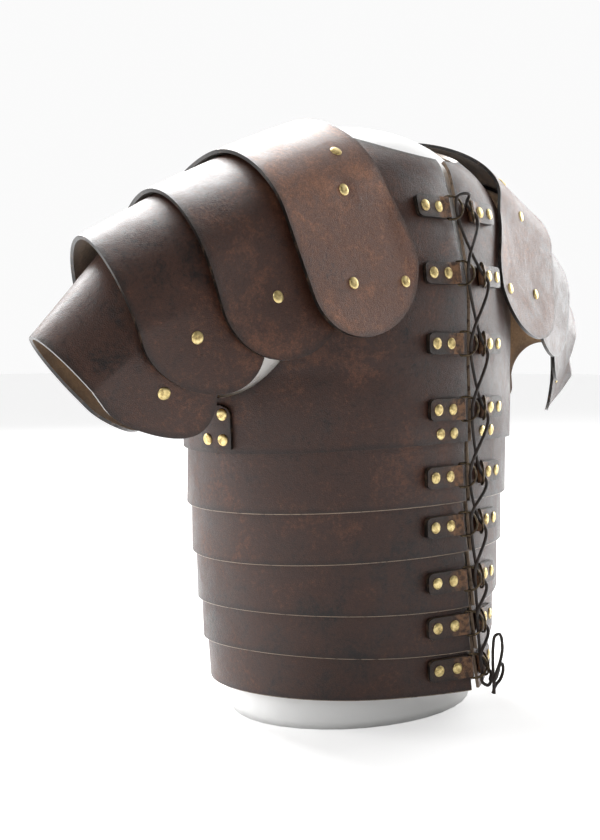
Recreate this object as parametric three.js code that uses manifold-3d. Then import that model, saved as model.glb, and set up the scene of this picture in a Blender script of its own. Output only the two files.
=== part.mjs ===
// Segmented leather armour standing on a limbless display form. Sizes are in millimetres.
// +Z is up, the front faces -Y and +X is on the wearer's left. The form's flat base is at z = 0.
import * as THREE from "three";
import { mergeVertices } from "three/addons/utils/BufferGeometryUtils.js";
import Module from "manifold-3d";

const wasm = await Module();
wasm.setup();

// ---- leather and fittings ----
const LEATHER = 3.2; // plates, panels and strips
const SEAM = 0.4; // gap left between pieces that touch
const OVERLAP = 14; // each strip's upper edge, tucked under the piece above
const STRIP_LIFT = 5.2; // a strip's lower edge stands this much further out than its upper edge
const LIFT_HEIGHT = 66; // height over which the chest panels ease out to their lower edge
const FRONT_GAP = 2.6; // half of the opening down the front
const NECK_GAP = { half: 6.4, from: 385, to: 450 }; // the opening widens between these heights
const SIDE_GAP = 0.12; // half of the gap at a side seam, in degrees of turn

const TAB_WIDTH = 19;
const TAB_THICKNESS = 4.4; // two layers, because the strap is folded back on itself
const TAB_SEAM = 0.7;
const TAB_END = 9; // leather past the outer rivet
const FOLD_REACH = 13; // from the inner rivet to the ring's bar
const FOLD_RADIUS = 3.6;
const FOLD_BORE = 2;
const RIVET_PITCH = 18;
const CAP_RADIUS = 5.2;
const CAP_HEIGHT = 1.5;
const CAP_SIDES = 8;
const POST_RADIUS = 2.6; // rivet post from a shoulder plate down to the panel under it
const POST_STEP = 0.25;
const LONGEST_POST = 40;
const RING_WIRE = 2.2;
const RING_BAR = 21.6; // the ring's straight side, middle to middle of the wire
const RING_ARM = 5; // straight arms between the bar and the round of the ring
const RING_ARC_STEPS = 5;
const RING_SIDES = 5;
const RING_LEAST_TILT = 35; // degrees that a ring stands out from the leather
const RING_CLEARANCE = 0.8; // between each ring and the middle of the front
const STRAP_WIDTH = 22; // carrying straps under the shoulder plates
const STRAP_THICKNESS = 2.2;
const STRAP_GAP = { front: 0.6, back: 1.2 }; // between a strap and the plates over it
const LACE = 3;
const LACE_SIDES = 8;
const THREAD_REACH = 11; // from a ring's bar to the lace that runs through it
const THREAD_DEPTH = 3.3; // how far the lace runs from a ring's plane, on either side
const THREAD_RISE = { inside: 5.5, outside: 9.5 }; // and how far above or below the ring's middle

// ---- the body that the leather rests on, from the base up ----
// ridge: how far the front edges stand forward of the oval; below 0 they fall back into it.
const BODY = table(
  ["z", "halfWidth", "halfDepth", "middle", "ridge"],
  [0, 138, 112, 0, 20],
  [30, 143.5, 116.5, 0.3, 20],
  [66, 151, 119.8, 1.3, 15],
  [106, 159, 122, 1.4, 10],
  [155, 168, 123.6, 1, 5.5],
  [201, 177, 124, 0, 1.5],
  [257, 184.5, 124.3, -2.2, 0],
  [300, 190.5, 126, -3, 0],
  [345, 194.5, 127.5, -2, 0.5],
  [398, 196.5, 126.5, -1, 2],
  [430, 195.5, 123.5, -1, -2],
  [465, 187, 119, -1, -6],
  [487, 171, 113.5, 0, -4],
  [505, 143, 105, 0, -1],
  [520.5, 115, 90, 0, 0],
  [534, 94, 75, 0, 0],
  [544, 69, 56, 0, 0],
  [552, 42, 33, 0, 0],
  [554.5, 20, 16, 0, 0],
);
const RIDGE_HALF_WIDTH = 95;
const FORM_RINGS = [
  ...[0, 30, 80, 140, 200, 257, 330, 395, 440, 468],
  ...[487, 501, 513, 525, 535, 544, 551, 554.5],
];
const FORM_SIDES = 36;
const FORM_SHOULDER = { z: 440, over: 30, inset: 2.6 }; // above z the form draws in a little more
const FORM_GAP = 0.7; // the form lies this far inside the surface that the leather follows
const FORM_BASE_INSET = 6; // the form draws in this much at its base

// ---- lower edges of the chest and of the five girdle strips ----
const EDGES = table(
  ["front", "side"],
  [256.5, 252],
  [201, 200],
  [155, 155],
  [104, 112],
  [64, 75],
  [28.7, 34.4],
);
const STRIP_COLUMNS = 44;

// ---- rows of lacing tabs: the piece each lies on (0 is the chest), its height and outer rivet ----
const TABS = table(
  ["level", "z", "rivetX"],
  [0, 465, 52],
  [0, 406.5, 51],
  [0, 345, 49.5],
  [0, 287, 48.5],
  [1, 226.5, 48.5],
  [2, 181.5, 46],
  [3, 131, 42],
  [4, 90, 40],
  [5, 51.5, 37],
);
const CORNER_RIVETS = { z: 265, outerX: 41 }; // bare pair at the foot of each chest panel

// ---- side joiners, over the seams under the arms ----
const JOINER = { turn: 7, low: 256.5, high: 294, rivetTurn: 3.6, rivetInset: 8 };

// ---- the lace's two tails, from the lowest rings to their free ends ----
const TAIL_A = [
  [-1.5, -151, 36.5],
  [0.5, -156, 34],
  [3.5, -158.8, 43],
  [2.5, -159.5, 56],
  [1, -160.5, 69],
  [2, -162, 80],
  [6, -164.5, 81],
  [9, -165.5, 69],
  [7, -164.5, 56],
  [3, -163, 46],
  [0, -162.3, 37],
  [2, -161.5, 27],
];
const TAIL_B = [
  [8, -153.5, 37],
  [12, -156, 37],
  [14.5, -157.8, 44],
  [16.2, -158.6, 50],
  [19.8, -159, 50.5],
  [21.5, -159, 44.5],
  [18.5, -158, 36.5],
  [13, -156, 31],
  [10, -155, 24],
];
const TOP_SPAN = [0, -134, 480]; // where the lace crosses between the two top rings

// ---- chest and back panels ----
const NECK_FRONT = 511;
const NECK_BACK = 526;
const NECK_SHOULDER = 540.5;
const ARMHOLE_MIDDLE = 401;
const ARMHOLE_HALF_HEIGHT = 101.5;
const ARMHOLE_TURN = 35.5; // how far the armhole is cut into each panel, in degrees of turn
const PANEL_COLUMNS = 13;
const PANEL_ROWS = 12;
const NECK_SHARE = 0.78; // part of the top edge that is neckline, the rest is shoulder seam
const SEAM_SHARE = 0.14; // part of the side edge that is seam, the rest is armhole

// ---- shoulder plates ----
// The arch that each plate's outer edge follows, the first one being plate 1's neck edge.
// The crown is rounded over its span and drop, and straight legs hang from it.
// tilt, yaw and flare are in degrees, the rest in millimetres; FRONT_YAW is every arch's front yaw.
const ARCHES = table(
  [
    ...["x", "y", "z", "tiltFront", "tiltBack", "yawBack"],
    ...["spanFront", "spanBack", "drop", "flareFront", "flareBack", "leg"],
  ],
  [-80, 10, 550.5, 27, 9, 8, 115, 124, 70, 2, 4, 266],
  [-192, 3, 510.5, 18.5, 9, 12, 103.5, 118, 70, 5, 6, 258],
  [-270, 3, 470.5, 17.5, 13, 18, 86, 97, 78, -1, 3, 216],
  [-340.5, 5.5, 428.5, 20, 23, 22, 62.5, 71, 80, -12, -3, 172],
  [-388, 6, 350.5, 41.5, 43, 24, 36.5, 35.5, 56, -24.5, -7.5, 137],
);
const FRONT_YAW = 24; // the arches' front halves turn this far about the vertical
const PLATES = table(
  // tuck: where the plate starts under the one before it; reach: its length there as a share of
  // that one's; round: radius of its ends; rivets: [along, across] on the front half
  ["tuck", "reach", "round", "rivets"],
  [0, 1, 57, [[-0.81, 0.64], [-0.53, 0.4]]],
  [0.64, 0.96, 62, [[-0.77, 0.58]]],
  [0.7, 1.07, 50, [[-0.76, 0.58]]],
  [0.48, 1.16, 44, [[-0.77, 0.52]]],
);
const ANCHORS = [[-0.89, 0.2], [-0.37, 0.26]]; // rivets that fix plate 1 to the panel under it
const BODY_CLEARANCE = 1; // further gap between plate 1 and the panels under it
const FOOT_PASSES = 6; // steps from a point of plate 1 in to the body under it
const PLATE_END_STEPS = 5;
const PLATE_MIDDLE_STEPS = 20;
const PLATE_STEPS_ACROSS = [3, 2, 2, 2];
const PLATE_GAP = 1.5; // between plates where they overlap
// Where a carrying strap runs under each plate: [plate, along, across]
const STRAP_ROUTE = [
  [1, -0.78, 0.5],
  [1, -0.77, 0.6],
  [2, -0.77, 0.06],
  [2, -0.77, 0.45],
  [2, -0.79, 0.62],
  [3, -0.76, 0.06],
  [3, -0.8, 0.38],
  [3, -0.81, 0.46],
  [4, -0.7, 0.05],
  [4, -0.72, 0.24],
  [4, -0.75, 0.44],
];

// ---- small helpers ----
function table(columns, ...rows) {
  return rows.map((row) => Object.fromEntries(columns.map((name, i) => [name, row[i]])));
}

const { clamp, degToRad, lerp, radToDeg } = THREE.MathUtils;
const vec = (x, y, z) => new THREE.Vector3(x, y, z);
const steps = (count) => Array.from({ length: count + 1 }, (_, i) => i / count);

// A column of a table at height z, as one smooth curve through its rows.
function between(rows, column, z) {
  const i = clamp(rows.findLastIndex((row) => row.z <= z), 0, rows.length - 2);
  const slope = (j) => {
    const low = rows[Math.max(j - 1, 0)];
    const high = rows[Math.min(j + 1, rows.length - 1)];
    return (high[column] - low[column]) / (high.z - low.z);
  };
  const span = rows[i + 1].z - rows[i].z;
  const f = clamp((z - rows[i].z) / span, 0, 1);
  const rise = f * f * (3 - 2 * f);
  const ease = span * f * (1 - f);
  return (
    lerp(rows[i][column], rows[i + 1][column], rise) +
    ease * ((1 - f) * slope(i) - f * slope(i + 1))
  );
}

// A point of surface(u, v) moved out along its normal.
function raised(surface, u, v, height) {
  const du = 0.01;
  const along = surface(u + du, v).sub(surface(u - du, v));
  const across = surface(u, v + du).sub(surface(u, v - du));
  return surface(u, v).addScaledVector(along.cross(across).normalize(), height);
}

function meshGeometry(points, triangles) {
  const geometry = new THREE.BufferGeometry().setFromPoints(points).setIndex(triangles);
  const merged = mergeVertices(geometry, 1e-3);
  const corners = merged.index.array;
  const kept = [];
  for (let i = 0; i < corners.length; i += 3) {
    const [a, b, c] = corners.slice(i, i + 3);
    if (a !== b && b !== c && c !== a) kept.push(a, b, c);
  }
  return merged.setIndex(kept);
}

// A wall closed round its edge between an inner and an outer grid of points.
function wall(inner, outer) {
  const rows = inner.length;
  const columns = inner[0].length;
  const size = rows * columns;
  const at = (layer, j, i) => layer * size + j * columns + i;
  const triangles = [];
  const quad = (a, b, c, d) => triangles.push(a, b, c, a, c, d);
  const endRow = rows - 1;
  const endColumn = columns - 1;
  for (let j = 0; j < endRow; j++) {
    for (let i = 0; i < endColumn; i++) {
      quad(at(1, j, i), at(1, j, i + 1), at(1, j + 1, i + 1), at(1, j + 1, i));
      quad(at(0, j, i), at(0, j + 1, i), at(0, j + 1, i + 1), at(0, j, i + 1));
    }
  }
  for (let i = 0; i < endColumn; i++) {
    quad(at(0, 0, i), at(0, 0, i + 1), at(1, 0, i + 1), at(1, 0, i));
    quad(at(0, endRow, i + 1), at(0, endRow, i), at(1, endRow, i), at(1, endRow, i + 1));
  }
  for (let j = 0; j < endRow; j++) {
    quad(at(0, j + 1, 0), at(0, j, 0), at(1, j, 0), at(1, j + 1, 0));
    const [here, above] = [at(0, j, endColumn), at(0, j + 1, endColumn)];
    quad(here, above, at(1, j + 1, endColumn), at(1, j, endColumn));
  }
  return meshGeometry([...inner.flat(), ...outer.flat()], triangles);
}

function mirrored(geometry) {
  const copy = geometry.clone().scale(-1, 1, 1);
  const corners = copy.index.array;
  for (let i = 0; i < corners.length; i += 3) {
    [corners[i + 1], corners[i + 2]] = [corners[i + 2], corners[i + 1]];
  }
  return copy;
}

function toSolid(geometry) {
  const bare = geometry.clone();
  bare.deleteAttribute("normal");
  bare.deleteAttribute("uv");
  const merged = mergeVertices(bare, 1e-3);
  return new wasm.Manifold(
    new wasm.Mesh({
      numProp: 3,
      vertProperties: merged.attributes.position.array,
      triVerts: new Uint32Array(merged.index.array),
    }),
  );
}

function joined(...geometries) {
  const solid = geometries.map(toSolid).reduce((whole, piece) => whole.add(piece));
  const mesh = solid.getMesh();
  const geometry = new THREE.BufferGeometry();
  geometry.setAttribute("position", new THREE.BufferAttribute(mesh.vertProperties, 3));
  return geometry.setIndex([...mesh.triVerts]);
}

// ---- body ----
// turn: degrees from the front middle, towards the wearer's left.
function bodyPoint(turn, z, lowestRidge, highestRidge) {
  const forward = Math.cos(degToRad(turn));
  const x = between(BODY, "halfWidth", z) * Math.sin(degToRad(turn));
  const ridge = clamp(between(BODY, "ridge", z), lowestRidge, highestRidge);
  const nearMiddle = forward > 0 ? Math.max(1 - Math.abs(x) / RIDGE_HALF_WIDTH, 0) ** 2 : 0;
  const y = between(BODY, "middle", z) - between(BODY, "halfDepth", z) * forward;
  return vec(x, y - ridge * nearMiddle, z);
}

const restSurface = (turn, z) => bodyPoint(turn, z, -Infinity, Infinity);
const formSurface = (turn, z) => bodyPoint(turn, z, -Infinity, 0);

function displayForm() {
  const rings = FORM_RINGS.map((z) =>
    steps(FORM_SIDES)
      .slice(0, -1)
      .map((turn) => {
        const rise = clamp((z - FORM_SHOULDER.z) / FORM_SHOULDER.over, 0, 1);
        const shoulder = FORM_SHOULDER.inset * rise;
        const inset = z > 0 ? FORM_GAP + shoulder : FORM_BASE_INSET;
        const point = raised(formSurface, turn * 360, z, -inset);
        return z > 0 ? point : point.setZ(0);
      }),
  );
  const triangles = [];
  const at = (j, i) => j * FORM_SIDES + (i % FORM_SIDES);
  const last = rings.length - 1;
  for (let j = 0; j < last; j++) {
    for (let i = 0; i < FORM_SIDES; i++) {
      triangles.push(at(j, i), at(j, i + 1), at(j + 1, i + 1));
      triangles.push(at(j, i), at(j + 1, i + 1), at(j + 1, i));
    }
  }
  const baseMiddle = rings.length * FORM_SIDES;
  for (let i = 0; i < FORM_SIDES; i++) {
    triangles.push(baseMiddle, at(0, i + 1), at(0, i));
    triangles.push(baseMiddle + 1, at(last, i), at(last, i + 1));
  }
  const ends = [vec(0, 0, 0), vec(0, 0, FORM_RINGS[last])];
  return meshGeometry([...rings.flat(), ...ends], triangles);
}

// ---- chest, back and girdle ----
function edgeHeight(level, turn) {
  const forward = Math.cos(degToRad(turn)) ** 2;
  return lerp(EDGES[level].side, EDGES[level].front, forward);
}

// How far a piece's inner face stands off the body; it grows towards the piece's lower edge.
function standOff(level, turn, z) {
  const low = edgeHeight(level, turn);
  const height = level === 0 ? LIFT_HEIGHT : edgeHeight(level - 1, turn) + OVERLAP - low;
  return SEAM + STRIP_LIFT * clamp(1 - (z - low) / height, 0, 1);
}

// The turn at which the body is this far from the middle, at height z.
const turnAt = (x, z) => radToDeg(Math.asin(x / between(BODY, "halfWidth", z)));
const frontTurn = (z) => {
  const widening = THREE.MathUtils.smoothstep(z, NECK_GAP.from, NECK_GAP.to);
  return turnAt(lerp(FRONT_GAP, NECK_GAP.half, widening), z);
};

// A strip is straight between its two long edges. Height is measured from its inner face.
function stripPoint(level, turn, z, height) {
  const low = edgeHeight(level, turn);
  const high = edgeHeight(level - 1, turn) + OVERLAP;
  const edge = (at) => raised(restSurface, turn, at, standOff(level, turn, at) + height);
  return edge(low).lerp(edge(high), (z - low) / (high - low));
}

// A point above a piece's outer face.
function facePoint(level, turn, z, height) {
  if (level > 0) return stripPoint(level, turn, z, LEATHER + height);
  return raised(restSurface, turn, z, standOff(0, turn, z) + LEATHER + height);
}

function girdleStrip(level) {
  const layer = (height) =>
    steps(1).map((up) =>
      steps(STRIP_COLUMNS).map((along) => {
        const start = frontTurn(edgeHeight(level, 0));
        const turn = lerp(start, 360 - start, along);
        const z = lerp(edgeHeight(level, turn), edgeHeight(level - 1, turn) + OVERLAP, up);
        return stripPoint(level, turn, z, height);
      }),
    );
  return wall(layer(0), layer(LEATHER));
}

// A panel's four edges as [turn, height], filled in evenly between them.
function panel(columns, bottom, top, start, end) {
  const blend = (u, v, k) =>
    lerp(bottom(u)[k], top(u)[k], v) +
    lerp(start(v)[k], end(v)[k], u) -
    lerp(lerp(bottom(0)[k], bottom(1)[k], u), lerp(top(0)[k], top(1)[k], u), v);
  const layer = (height) =>
    steps(PANEL_ROWS).map((v) =>
      steps(columns).map((u) => {
        const turn = blend(u, v, 0);
        const z = blend(u, v, 1);
        return raised(restSurface, turn, z, standOff(0, turn, z) + height);
      }),
    );
  return wall(layer(0), layer(LEATHER));
}

// Side seam and armhole, from the lower edge to the shoulder tip. inwards is the way into the panel.
function sideEdge(v, seamTurn, inwards) {
  const armholeFoot = ARMHOLE_MIDDLE - ARMHOLE_HALF_HEIGHT;
  if (v < SEAM_SHARE) {
    return [seamTurn, lerp(edgeHeight(0, seamTurn), armholeFoot, v / SEAM_SHARE)];
  }
  const sweep = degToRad(lerp(-90, 90, (v - SEAM_SHARE) / (1 - SEAM_SHARE)));
  return [
    seamTurn + inwards * ARMHOLE_TURN * Math.cos(sweep),
    ARMHOLE_MIDDLE + ARMHOLE_HALF_HEIGHT * Math.sin(sweep),
  ];
}

function neckline(turn, middle) {
  return [turn, lerp(middle, NECK_SHOULDER, Math.sin(degToRad(turn)) ** 2)];
}

// Shoulder seam, from the neck down to the tip.
function shoulderSeam(f, turn) {
  return [turn, lerp(NECK_SHOULDER, ARMHOLE_MIDDLE + ARMHOLE_HALF_HEIGHT, f)];
}

function chestPanel() {
  const seam = 90 - SIDE_GAP;
  const bottom = (u) => {
    const turn = lerp(frontTurn(EDGES[0].front), seam, u);
    return [turn, edgeHeight(0, turn)];
  };
  const top = (u) =>
    u < NECK_SHARE
      ? neckline(lerp(frontTurn(NECK_FRONT), seam, u / NECK_SHARE), NECK_FRONT)
      : shoulderSeam((u - NECK_SHARE) / (1 - NECK_SHARE), seam);
  const front = (v) => {
    const z = lerp(edgeHeight(0, 0), NECK_FRONT, v);
    return [frontTurn(z), z];
  };
  return panel(PANEL_COLUMNS, bottom, top, front, (v) => sideEdge(v, seam, -1));
}

function backPanel() {
  const seam = 90 + SIDE_GAP;
  const share = (1 - NECK_SHARE) / 2;
  const bottom = (u) => {
    const turn = lerp(seam, 360 - seam, u);
    return [turn, edgeHeight(0, turn)];
  };
  const top = (u) => {
    if (u < share) return shoulderSeam(1 - u / share, seam);
    if (u > 1 - share) return shoulderSeam(1 - (1 - u) / share, 360 - seam);
    return neckline(lerp(seam, 360 - seam, (u - share) / (1 - 2 * share)), NECK_BACK);
  };
  return panel(
    2 * PANEL_COLUMNS - 4,
    bottom,
    top,
    (v) => sideEdge(v, seam, 1),
    (v) => sideEdge(v, 360 - seam, -1),
  );
}

// ---- rivets ----
// A rivet cap standing on point; its shank reaches this far down into or through the leather.
function rivetCap(point, normal, shank = 0) {
  const root = LEATHER / 2;
  const foot = [[0, -shank], [POST_RADIUS, -shank], [POST_RADIUS, -root]];
  const post = shank > root ? foot : [[0, -root]];
  const cap = [[CAP_RADIUS, -root], [CAP_RADIUS * 0.8, CAP_HEIGHT], [0, CAP_HEIGHT]];
  const profile = [...post, ...cap].map(([x, y]) => new THREE.Vector2(x, y));
  return new THREE.LatheGeometry(profile, CAP_SIDES)
    .applyQuaternion(new THREE.Quaternion().setFromUnitVectors(vec(0, 1, 0), normal))
    .translate(...point);
}

function capOn(surfacePoint) {
  const foot = surfacePoint(0);
  return rivetCap(foot, surfacePoint(1).sub(foot).normalize());
}

// ---- lacing tabs and rings, modelled on the wearer's left ----
// Where a tab's ring sits: the bar's middle, its direction, and the ring's reach and outward axes.
function ringSeat({ level, z, rivetX }) {
  const barX = rivetX - RIVET_PITCH - FOLD_REACH;
  const foldMiddle = (height) => {
    const rise = TAB_SEAM + FOLD_RADIUS;
    return facePoint(level, turnAt(barX, z), height, rise);
  };
  const bar = foldMiddle(z);
  const up = foldMiddle(z + TAB_WIDTH / 2).sub(foldMiddle(z - TAB_WIDTH / 2)).normalize();
  const outer = facePoint(level, turnAt(barX + 1, z), z, TAB_SEAM + FOLD_RADIUS);
  const away = outer.sub(bar).projectOnPlane(up).normalize();
  const normal = up.clone().cross(away).multiplyScalar(-1);
  const length = RING_ARM + RING_BAR / 2 + RING_WIRE / 2;
  const share = (bar.x - RING_CLEARANCE) / (length * Math.hypot(normal.x, away.x));
  const fit = Math.acos(Math.min(share, 1)) - Math.atan2(normal.x, away.x);
  const tilt = Math.max(degToRad(RING_LEAST_TILT), fit);
  const reach = away.clone().multiplyScalar(-Math.cos(tilt)).addScaledVector(normal, Math.sin(tilt));
  return { bar, up, away, normal, reach, inside: reach.clone().cross(up) };
}

function lacingRing(tab) {
  const { bar, up, reach, inside } = ringSeat(tab);
  const radius = RING_BAR / 2;
  const arc = steps(RING_ARC_STEPS).map((f) => {
    const angle = Math.PI * (f - 0.5);
    return [-radius * Math.sin(angle), RING_ARM + radius * Math.cos(angle)];
  });
  const path = [[-radius, 0], [radius, 0], ...arc].map(([x, y]) => new THREE.Vector2(x, y));
  const count = path.length;
  const sides = RING_SIDES;
  const points = path.flatMap((point, i) => {
    const before = point.clone().sub(path[(i + count - 1) % count]).normalize();
    const after = path[(i + 1) % count].clone().sub(point).normalize();
    const tangent = before.clone().add(after).normalize();
    const mitre = 1 / tangent.dot(after);
    const side = new THREE.Vector2(tangent.y, -tangent.x).multiplyScalar((mitre * RING_WIRE) / 2);
    return steps(sides).slice(0, -1).map((f) => {
      const angle = 2 * Math.PI * f;
      const at = side.clone().multiplyScalar(Math.cos(angle)).add(point);
      return bar
        .clone()
        .addScaledVector(up, at.x)
        .addScaledVector(reach, at.y)
        .addScaledVector(inside, (RING_WIRE / 2) * Math.sin(angle));
    });
  });
  const at = (i, j) => (i % count) * sides + (j % sides);
  const triangles = [];
  for (let i = 0; i < count; i++) {
    for (let j = 0; j < sides; j++) {
      triangles.push(at(i, j), at(i + 1, j), at(i + 1, j + 1));
      triangles.push(at(i, j), at(i + 1, j + 1), at(i, j + 1));
    }
  }
  return facingOut(meshGeometry(points, triangles));
}

// Turns a closed mesh's triangles round if they face inwards.
function facingOut(geometry) {
  const corners = geometry.index.array;
  const at = geometry.attributes.position;
  const corner = (i) => vec(at.getX(corners[i]), at.getY(corners[i]), at.getZ(corners[i]));
  let volume = 0;
  for (let i = 0; i < corners.length; i += 3) {
    volume += corner(i).dot(corner(i + 1).cross(corner(i + 2)));
  }
  if (volume > 0) return geometry;
  for (let i = 0; i < corners.length; i += 3) {
    [corners[i + 1], corners[i + 2]] = [corners[i + 2], corners[i + 1]];
  }
  return geometry;
}

// A strap folded round the ring's bar and back, with its end section drawn along the panel.
function lacingTab(tab) {
  const { bar, up, away, normal } = ringSeat(tab);
  const innerX = tab.rivetX - RIVET_PITCH;
  const foldX = innerX - FOLD_REACH / 2;
  const flat = steps(2).map((f) => lerp(tab.rivetX + TAB_END, foldX, f));
  const face = (x, z, height) => facePoint(tab.level, turnAt(x, z), z, TAB_SEAM + height);
  const fold = steps(4).map((f) => Math.PI * (f - 0.5));
  const bore = steps(5).slice(0, -1).map((f) => 2 * Math.PI * f);
  const section = (side) => {
    const z = tab.z + (side * TAB_WIDTH) / 2;
    const middle = bar.clone().addScaledVector(up, (side * TAB_WIDTH) / 2);
    const around = (radius, angle) =>
      middle
        .clone()
        .addScaledVector(away, -radius * Math.cos(angle))
        .addScaledVector(normal, radius * Math.sin(angle));
    return {
      contour: [
        ...flat.map((x) => face(x, z, 0)),
        ...fold.map((angle) => around(FOLD_RADIUS, angle)),
        ...flat.toReversed().map((x) => face(x, z, TAB_THICKNESS)),
      ],
      hole: bore.map((angle) => around(FOLD_BORE, angle)),
    };
  };
  const flatten = (point) => {
    const reach = point.clone().sub(bar);
    return new THREE.Vector2(reach.dot(away), reach.dot(normal));
  };
  const strap = prism(section(-1), section(1), flatten);
  const rivets = [tab.rivetX, innerX].map((x) =>
    capOn((height) => face(x, tab.z, TAB_THICKNESS + height)),
  );
  return joined(strap, ...rivets);
}

// A solid between two ends, each an outline with a hole; flatten lays an end's points out in 2D.
function prism(low, high, flatten) {
  const outline = low.contour.map(flatten);
  const hole = low.hole.map(flatten);
  const corners = [...outline, ...hole];
  const count = corners.length;
  const turning = (points) => Math.sign(THREE.ShapeUtils.area(points));
  const faces = THREE.ShapeUtils.triangulateShape(outline, [hole]);
  const faceTurning = turning(faces[0].map((i) => corners[i]));
  const triangles = faces.flatMap(([a, b, c]) => [a, b, c, count + c, count + b, count + a]);
  const sideWalls = (start, length, direction) => {
    for (let i = 0; i < length; i++) {
      const ends = [start + i, start + ((i + 1) % length)];
      const [a, b] = direction > 0 ? ends.toReversed() : ends;
      triangles.push(a, b, count + b, a, count + b, count + a);
    }
  };
  sideWalls(0, outline.length, turning(outline) * faceTurning);
  sideWalls(outline.length, hole.length, -turning(hole) * faceTurning);
  const points = [...low.contour, ...low.hole, ...high.contour, ...high.hole];
  return facingOut(meshGeometry(points, triangles));
}

// ---- shoulder plates, modelled on the wearer's right ----
// A point of an arch: reach runs from the front end (negative) over the crown to the back end.
function archPoint(arch, reach) {
  const front = reach < 0;
  const span = front ? arch.spanFront : arch.spanBack;
  const tilt = degToRad(front ? arch.tiltFront : arch.tiltBack);
  const flare = degToRad(front ? arch.flareFront : arch.flareBack);
  const oval = ((span - arch.drop) / (span + arch.drop)) ** 2;
  const quarter = (Math.PI / 4) * (span + arch.drop) * (1 + oval / 4);
  const share = Math.min(Math.abs(reach) / quarter, 1);
  const round = share * (Math.PI / 2);
  const straight = Math.max(Math.abs(reach) - quarter, 0);
  const out = span * Math.sin(round) + straight * Math.sin(flare);
  const down = arch.drop * (1 - Math.cos(round)) + straight * Math.cos(flare);
  const point = vec(down * Math.sin(tilt), (front ? -1 : 1) * out, -down * Math.cos(tilt));
  const yaw = lerp(FRONT_YAW, arch.yawBack, front ? 0 : share * share * (3 - 2 * share));
  return point.applyAxisAngle(vec(0, 0, 1), -degToRad(yaw)).add(vec(arch.x, arch.y, arch.z));
}

// Above 0 outside the body's oval at that height, with its walls moved out by stand.
function outside({ x, y, z }, stand = 0) {
  const across = x / (between(BODY, "halfWidth", z) + stand);
  const through = (y - between(BODY, "middle", z)) / (between(BODY, "halfDepth", z) + stand);
  return Math.hypot(across, through) - 1;
}

// Moves a point out of the body until it stands this far off.
function offBody(point, distance) {
  const foot = point.clone();
  for (let pass = 0; pass < FOOT_PASSES; pass++) {
    const here = outside(foot);
    const steps = [vec(1, 0, 0), vec(0, 1, 0), vec(0, 0, 1)];
    const slope = vec(...steps.map((step) => outside(step.add(foot)) - here));
    foot.addScaledVector(slope, -here / slope.lengthSq());
  }
  const away = point.clone().sub(foot);
  const missing = Math.max(distance - away.length(), 0);
  return point.addScaledVector(away.normalize(), missing);
}

// along: -1 at the front end to 1 at the back end; across: 0 at the tucked edge to 1 at the outer.
function plateSurface(plate, along, across) {
  const { tuck, reach } = PLATES[plate - 1];
  const tucked =
    plate === 1
      ? archPoint(ARCHES[0], along * ARCHES[0].leg)
      : plateSurface(plate - 1, along * reach, tuck);
  const point = tucked.lerp(archPoint(ARCHES[plate], along * ARCHES[plate].leg), across);
  if (plate > 1) return point;
  const under = clamp(across / PLATES[1].tuck, 0, 1) * (LEATHER + PLATE_GAP);
  return offBody(point, 2 * (LEATHER + SEAM) + BODY_CLEARANCE + under);
}

// Depth of a plate's outer face under that surface, so that it passes under the plate before it.
function plateDepth(plate, across) {
  if (plate === 1) return 0;
  const atTuck = plateDepth(plate - 1, PLATES[plate - 1].tuck) + LEATHER + PLATE_GAP;
  return atTuck * (1 - across);
}

function platePoint(plate, along, across, height) {
  const surface = (u, v) => plateSurface(plate, u / 100, v / 100);
  return raised(surface, along * 100, across * 100, height - plateDepth(plate, across));
}

// Length of a rivet's post from a plate's outer face down to the panel's outer face.
function postLength(point, inwards) {
  const stand = LEATHER + 3 * SEAM;
  const clear = (length) => outside(point.clone().addScaledVector(inwards, length), stand) > 0;
  let length = LEATHER;
  while (clear(length + POST_STEP) && length < LONGEST_POST) length += POST_STEP;
  return length;
}

function shoulderPlate(plate) {
  const share = PLATES[plate - 1].round / ARCHES[plate].leg;
  const ends = steps(PLATE_END_STEPS).map((f) => degToRad(90 * (1 - f)));
  const front = ends.map((angle) => {
    return { along: share * (1 - Math.sin(angle)) - 1, width: Math.cos(angle) };
  });
  const middle = steps(PLATE_MIDDLE_STEPS)
    .slice(1, -1)
    .map((f) => ({ along: lerp(share - 1, 1 - share, f), width: 1 }));
  const back = front.toReversed().map(({ along, width }) => ({ along: -along, width }));
  const stations = [...front, ...middle, ...back];
  const layer = (height) =>
    steps(PLATE_STEPS_ACROSS[plate - 1]).map((f) =>
      stations.map(({ along, width }) => {
        return platePoint(plate, along, 0.5 + width * (f - 0.5), height);
      }),
    );
  const bothHalves = (places) => {
    return [...places, ...places.map(([along, across]) => [-along, across])];
  };
  const pieces = bothHalves(PLATES[plate - 1].rivets).map(([along, across]) =>
    capOn((height) => platePoint(plate, along, across, height)),
  );
  if (plate === 1) {
    for (const [along, across] of bothHalves(ANCHORS)) {
      const foot = platePoint(1, along, across, 0);
      const inwards = platePoint(1, along, across, -1).sub(foot).normalize();
      pieces.push(rivetCap(foot, inwards.clone().negate(), postLength(foot, inwards)));
    }
  }
  return joined(wall(layer(-LEATHER), layer(0)), ...pieces);
}

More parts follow.
